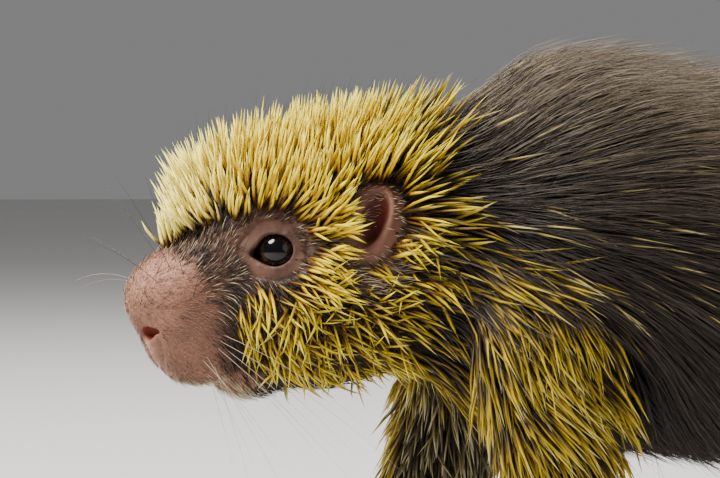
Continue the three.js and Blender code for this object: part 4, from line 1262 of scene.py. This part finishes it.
# Whiskers: root on the skin, heading, length, and how far the tip sinks
whiskers = {
    "pale": {"radius": 0.085, "colour": (0.50, 0.41, 0.28), "hairs": [
        ((14, -140, 93.5), (0.35, 0.80, -0.52), 58, 9), ((14, -141, 92), (0.4, 0.72, -0.66), 54, 7),
        ((14, -143, 89), (0.4, 0.55, -0.8), 44, 4), ((14, -139, 95), (0.5, 0.78, -0.36), 46, 9),
        ((14, -144, 88), (0.45, 0.6, -0.62), 36, 5), ((13, -141, 87), (0.3, 0.35, -0.95), 34, 2),
        ((14, -138, 91), (0.5, 0.8, -0.6), 40, 5), ((9, -158, 107), (0.3, -0.9, 0.45), 22, 9),
    ]},
    "dark": {"radius": 0.10, "colour": (0.02, 0.014, 0.012), "hairs": [
        ((10, -152, 112), (0.35, -0.45, 0.8), 34, 4), ((10, -156, 109), (0.5, -0.6, 0.55), 30, 5),
        ((12, -149, 111), (0.3, -0.2, 0.95), 32, 3), ((14, -146.5, 105), (0.3, 0.34, 0.9), 34, 1),
        ((14, -145, 109), (0.6, 0.3, 0.8), 26, 3), ((14, -150, 100), (0.9, 0.2, 0.1), 34, 7),
        ((14, -128, 127), (0.5, 0.1, 0.9), 24, 2), ((14, -125, 128), (0.55, 0.35, 0.85), 22, 3),
        ((16, -134, 113), (0.5, 0.3, 0.9), 18, 1),
    ]},
}
whiskerPoints, whiskerSides = 9, 5
whiskerDepth, whiskerSway, whiskerBend, whiskerTip = 0.6, 0.05, 2.2, 0.2


def whiskerTree(name):
    tree = bpy.data.node_groups.new(name, "GeometryNodeTree")
    face = tree.interface
    face.new_socket("Geometry", in_out="INPUT", socket_type="NodeSocketGeometry")
    for label, kind in (("Root radius", "NodeSocketFloat"), ("Tip radius", "NodeSocketFloat"),
                        ("Sides", "NodeSocketInt"), ("Material", "NodeSocketMaterial")):
        face.new_socket(label, in_out="INPUT", socket_type=kind)
    face.new_socket("Geometry", in_out="OUTPUT", socket_type="NodeSocketGeometry")

    def node(kind, **links):
        made = tree.nodes.new(kind)
        for key, value in links.items():
            socket = made.inputs[key.replace("_", " ")]
            if isinstance(value, bpy.types.NodeSocket):
                tree.links.new(value, socket)
            else:
                socket.default_value = value
        return made

    given = tree.nodes.new("NodeGroupInput").outputs
    curve = node("GeometryNodeMeshToCurve", Mesh=given["Geometry"])
    factor = node("GeometryNodeSplineParameter").outputs["Factor"]
    taper = node("ShaderNodeMapRange", Value=factor, To_Min=given["Root radius"], To_Max=given["Tip radius"])
    section = node("GeometryNodeCurvePrimitiveCircle", Resolution=given["Sides"], Radius=1.0)
    hair = node("GeometryNodeCurveToMesh", Curve=curve.outputs[0], Profile_Curve=section.outputs[0],
                Scale=taper.outputs[0], Fill_Caps=True)
    whole = node("GeometryNodeRealizeInstances", Geometry=hair.outputs[0])
    painted = node("GeometryNodeSetMaterial", Geometry=whole.outputs[0], Material=given["Material"])
    tree.links.new(painted.outputs[0], tree.nodes.new("NodeGroupOutput").inputs[0])
    return tree


def growWhiskers(name, look):
    points, edges, roots = [], [], []
    for at, heading, length, sink in look["hairs"]:
        for side in (1, -1):
            flip = np.array([side, 1, 1])
            root = settled(np.array([at], dtype=float) * flip, 6)[0]
            ahead = unit(np.array(heading) * flip + seeds.normal(0, whiskerSway, 3))
            t = np.linspace(0, 1, whiskerPoints)[:, None]
            path = root - ahead * whiskerDepth + ahead * length * t - np.array([0, 0, sink]) * t**whiskerBend
            path[:, 2] = np.maximum(path[:, 2], 1.0)
            start = len(points) * whiskerPoints
            edges += [(start + i, start + i + 1) for i in range(whiskerPoints - 1)]
            points.append(path)
            roots.append(root)
    mesh = bpy.data.meshes.new(name + "Lines")
    mesh.from_pydata(metres(np.concatenate(points)).tolist(), edges, [])
    made = linked(name, mesh)
    tree = whiskerTree(name + "Nodes")
    modifier = made.modifiers.new("whiskers", "NODES")
    modifier.node_group = tree
    radius = look["radius"] * 0.001
    values = {"Root radius": radius, "Tip radius": radius * whiskerTip, "Sides": whiskerSides,
              "Material": whiskerFinish(name + "Hair", look["colour"])}
    for item in tree.interface.items_tree:
        if item.in_out == "INPUT" and item.name in values:
            modifier[item.identifier] = values[item.name]
    bpy.context.view_layer.update()
    ready = made.evaluated_get(bpy.context.evaluated_depsgraph_get())
    made.data = bpy.data.meshes.new_from_object(ready)
    made.modifiers.clear()
    for polygon in made.data.polygons:
        polygon.use_smooth = True
    layout = unwrapped(np.array(roots), 0)
    vertex = np.arange(len(made.data.vertices))
    each = len(vertex) // len(roots)
    hair, inside = np.minimum(vertex // each, len(roots) - 1), vertex % each
    offset = np.stack([inside % whiskerSides / whiskerSides, inside / each], 1) - 0.5
    layOut(made, layout[hair] + patch * offset)
    print(name, len(roots), "hairs", len(made.data.polygons), "faces")
    return made


for name, look in whiskers.items():
    coat[name + "Whiskers"] = growWhiskers(name + "Whiskers", look)


# Skin piece: where each tone of the skin lies
earLimits, earCup = (7.6, 11.2, 8.2), (4.8, 8.0)


def skinPiece():
    p = skinPoints
    part = bodyPart(p)
    masks = markings(p, part)
    head = (part == 0) * overY(p, -84, -92)
    q = eyeSpace(p)
    ball = lengthOf(q)
    aroundEye = smoothstep(besideEye(p), 1.25, 0.85)
    masks["lids"] = head * aroundEye * smoothstep(ball, 11.2, 7.8)
    # The upper part of the ring round the eye, darkened as a painted shadow from the brow
    masks["brow"] = head * aroundEye * smoothstep(q[:, 1] - 0.35 * q[:, 0], 3.6, 6.4)
    # Painted highlight where the nose faces up, and three quarters of it on the front of the chin
    top = smoothstep(p[:, 2] - 0.6 * np.abs(p[:, 0]), 93, 108) * (p[:, 1] < -140)
    chin = 0.75 * overZ(p, 84, 79) * overY(p, -144, -139)
    masks["noseTop"] = masks["muzzle"] * np.maximum(top, chin)
    masks["face"] = head * np.maximum(1 - quilled(p), aroundEye) * overY(p, -100, -112)
    masks["face"] = np.maximum(masks["face"], head * smoothstep(belowEar(p), 1.2, 0.8))
    masks["rim"] = smoothstep(ball - eye["radius"], 1.05, 0.65)
    noseFront = p[:, 1] < -150
    masks["red"] = smoothstep(nostrilField(p), 0.6, -0.3) * noseFront
    # The pale ridge below each nostril, where a painted highlight lies
    masks["ridge"] = masks["muzzle"] * bell(np.abs(p[:, 0]), 6.5, 2.6) * overZ(p, 94, 91) * noseFront
    inEar = earSpace(p)
    nearEar = smoothstep(lengthOf(inEar / earLimits), 1.15, 0.95)
    masks["earRim"] = nearEar * smoothstep(inEar[:, 2], -6, -2)
    cup = lengthOf(inEar[:, :2] / earCup)
    masks["earIn"] = smoothstep(cup, 1.12, 0.8) * smoothstep(inEar[:, 2], 1.2, -1.2) * (ball > 12)
    tip = smoothstep(np.where(part == tailPart, tailAt(p), 0), 16, 20)
    masks["paw"] = np.maximum(tip, overZ(p, 20, 12) * (part > 0) * (part < tailPart))
    return makeMesh("skin", p, [skinTriangles], masks, skinFinish())


skin = skinPiece()


eyeRows, eyeColumns = 28, 40
cornea = {"bulge": 0.035, "width": 0.8}


def eyePiece(name, side):
    rows, columns = eyeRows, eyeColumns
    look = eyeAxes[side]
    angles = np.linspace(0, math.pi, rows + 1)[1:-1]
    turns = 2 * math.pi * np.arange(columns) / columns
    a, t = [grid.reshape(-1) for grid in np.meshgrid(angles, turns, indexing="ij")]
    ball = np.stack([np.sin(a) * np.cos(t), np.sin(a) * np.sin(t), np.cos(a)], 1)
    ball = np.concatenate([[[0, 0, 1.0]], ball, [[0, 0, -1.0]]])
    radial = np.arccos(np.clip(ball[:, 2], -1, 1))
    bulge = 1 + cornea["bulge"] * bell(radial, 0, cornea["width"])
    points = (ball * bulge[:, None] * eye["radius"]) @ look + np.array(eye["at"]) * [side, 1, 1]
    k = np.arange(columns)
    following = (k + 1) % columns
    top = np.stack([np.zeros(columns, dtype=int), 1 + k, 1 + following], 1)
    quad = np.stack([k, k + columns, following + columns, following], 1) + 1
    lastRing = 1 + (rows - 2) * columns
    bottom = np.stack([np.full(columns, len(ball) - 1), lastRing + following, lastRing + k], 1)
    faces = [np.concatenate([quad + r * columns for r in range(rows - 2)]), top, bottom]
    if np.linalg.det(look) < 0:
        faces = [face[:, ::-1] for face in faces]
    return makeMesh(name, points, faces, {"radial": radial}, eyeGloss)


eyeGloss = eyeFinish()
eyes = {"left": eyePiece("eyeLeft", 1), "right": eyePiece("eyeRight", -1)}

claw = {"length": 10, "radius": 1.7, "flat": 0.7, "drop": 2.31, "rings": 8, "sides": 10,
        "ahead": 0.1, "up": 0.5, "taper": (0.8, 1.3)}


def clawPiece(name, foot, tip, root, radius, material):
    length, drop, sides, rings = (claw[k] for k in ("length", "drop", "sides", "rings"))
    forward = unit((tip - root) * [1, 1, 0])
    side = np.cross(forward, [0, 0, 1.0])
    start = tip + forward * radius * claw["ahead"] + [0, 0, radius * claw["up"]]
    share, power = claw["taper"]
    points, along = [], []
    for i in range(rings):
        t = i / rings
        middle = start + forward * length * t - np.array([0, 0, drop * t * t])
        size = claw["radius"] * (1 - share * t**power)
        for k in range(sides):
            a = 2 * math.pi * k / sides
            points.append(middle + side * size * claw["flat"] * math.cos(a) + [0, 0, size * math.sin(a)])
            along.append(t)
    points.append(start + forward * length - [0, 0, drop])
    along.append(1.0)
    placed = np.array(points) @ footAxes(foot) + [*foot["heel"], 0]
    placed[:, 2] = np.maximum(placed[:, 2], 0.05)
    return makeMesh(name, placed, spindleFaces(sides, rings), {"along": along}, material)


horn = clawFinish()
claws = {}
for name, limb in limbs.items():
    footName = "forefoot" if name.startswith("fore") else "hindfoot"
    footName += "_left" if name.endswith("Left") else "_right"
    for i, (root, tip, radius) in enumerate(footToes(limb["foot"])):
        clawName = name.replace("leg", "Claw") + str(i + 1)
        node = "claw_%s_%d" % (footName, i + 1)
        claws[node] = clawPiece(clawName, limb["foot"], tip, root, radius, horn)
print("eyes and claws are made")

# Stage, light and camera
view = {"azimuth": 80, "elevation": 2, "distance": 0.6, "lens": 108, "target": (0, -98.73, 119.72)}
stage = {"radius": 8, "sides": 96, "paper": ((0.72, 0.71, 0.69), (0.76, 0.75, 0.73)),
         "sky": (0.78, 0.78, 0.79, 1), "skyPower": 0.28}
# Each lamp's place from the target in metres, its size, power and colour
lamps = {
    "keyLight": ((0.26, -0.76, 0.92), 0.55, 40, (1.0, 0.97, 0.92)),
    "fillLight": ((0.9, 0.6, 0.35), 0.9, 2.5, (1, 1, 1)),
    "rimLight": ((-0.6, 0.5, 0.9), 0.6, 12, (1, 1, 1)),
}


def makeStage():
    bpy.ops.mesh.primitive_circle_add(vertices=stage["sides"], radius=stage["radius"], fill_type="NGON")
    floor = bpy.context.object
    floor.name = "studioFloor"
    finish = Finish("floorPaper", Roughness=0.8)
    finish.set(Base_Color=finish.mix(finish.noise(2), *stage["paper"]))
    floor.data.materials.append(finish.material)
    world = bpy.data.worlds.new("softSky")
    bpy.context.scene.world = world
    world.use_nodes = True
    sky = world.node_tree.nodes["Background"]
    sky.inputs["Color"].default_value = stage["sky"]
    sky.inputs["Strength"].default_value = stage["skyPower"]


def softbox(name, at, size, power, colour):
    light = bpy.data.lights.new(name, "AREA")
    light.shape = "DISK"
    light.size = size
    light.energy = power
    light.color = colour
    lamp = linked(name, light)
    target = Vector(metres(view["target"]))
    lamp.location = target + Vector(at)
    lamp.rotation_euler = (target - lamp.location).to_track_quat("-Z", "Y").to_euler()


def makeCamera():
    lens = bpy.data.cameras.new("camera")
    lens.lens = view["lens"]
    lens.clip_start = 0.01
    camera = linked("camera", lens)
    a, e = math.radians(view["azimuth"]), math.radians(view["elevation"])
    back = Vector((math.sin(a) * math.cos(e), -math.cos(a) * math.cos(e), math.sin(e)))
    target = Vector(metres(view["target"]))
    camera.location = target + back * view["distance"]
    camera.rotation_euler = (-back).to_track_quat("-Z", "Y").to_euler()
    bpy.context.scene.camera = camera


makeStage()
for name, lamp in lamps.items():
    softbox(name, *lamp)
makeCamera()

# Each piece goes on the root body, and the solids that the skin, eyes and claws replace are hidden
flesh = ["muzzle", "lower_jaw", "head", "neck", "forebody", "hindbody",
         "tail_base", "tail_middle", "tail_tip", "ear_left", "ear_right"]
for leg in ("foreleg_left", "foreleg_right", "hindleg_left", "hindleg_right"):
    flesh += [leg + "_upper", leg + "_lower", leg.replace("leg", "foot")]
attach(skin, "root")
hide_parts(*flesh)
for name, piece in coat.items():
    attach(piece, "root")
    "yellow_quills" if "Quills" in name else "dark_fur"
for side, piece in eyes.items():
    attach(piece, "root")
    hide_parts("eye_" + side)
for node, piece in claws.items():
    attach(piece, "root")
    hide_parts(node)
print("pieces are on their body")
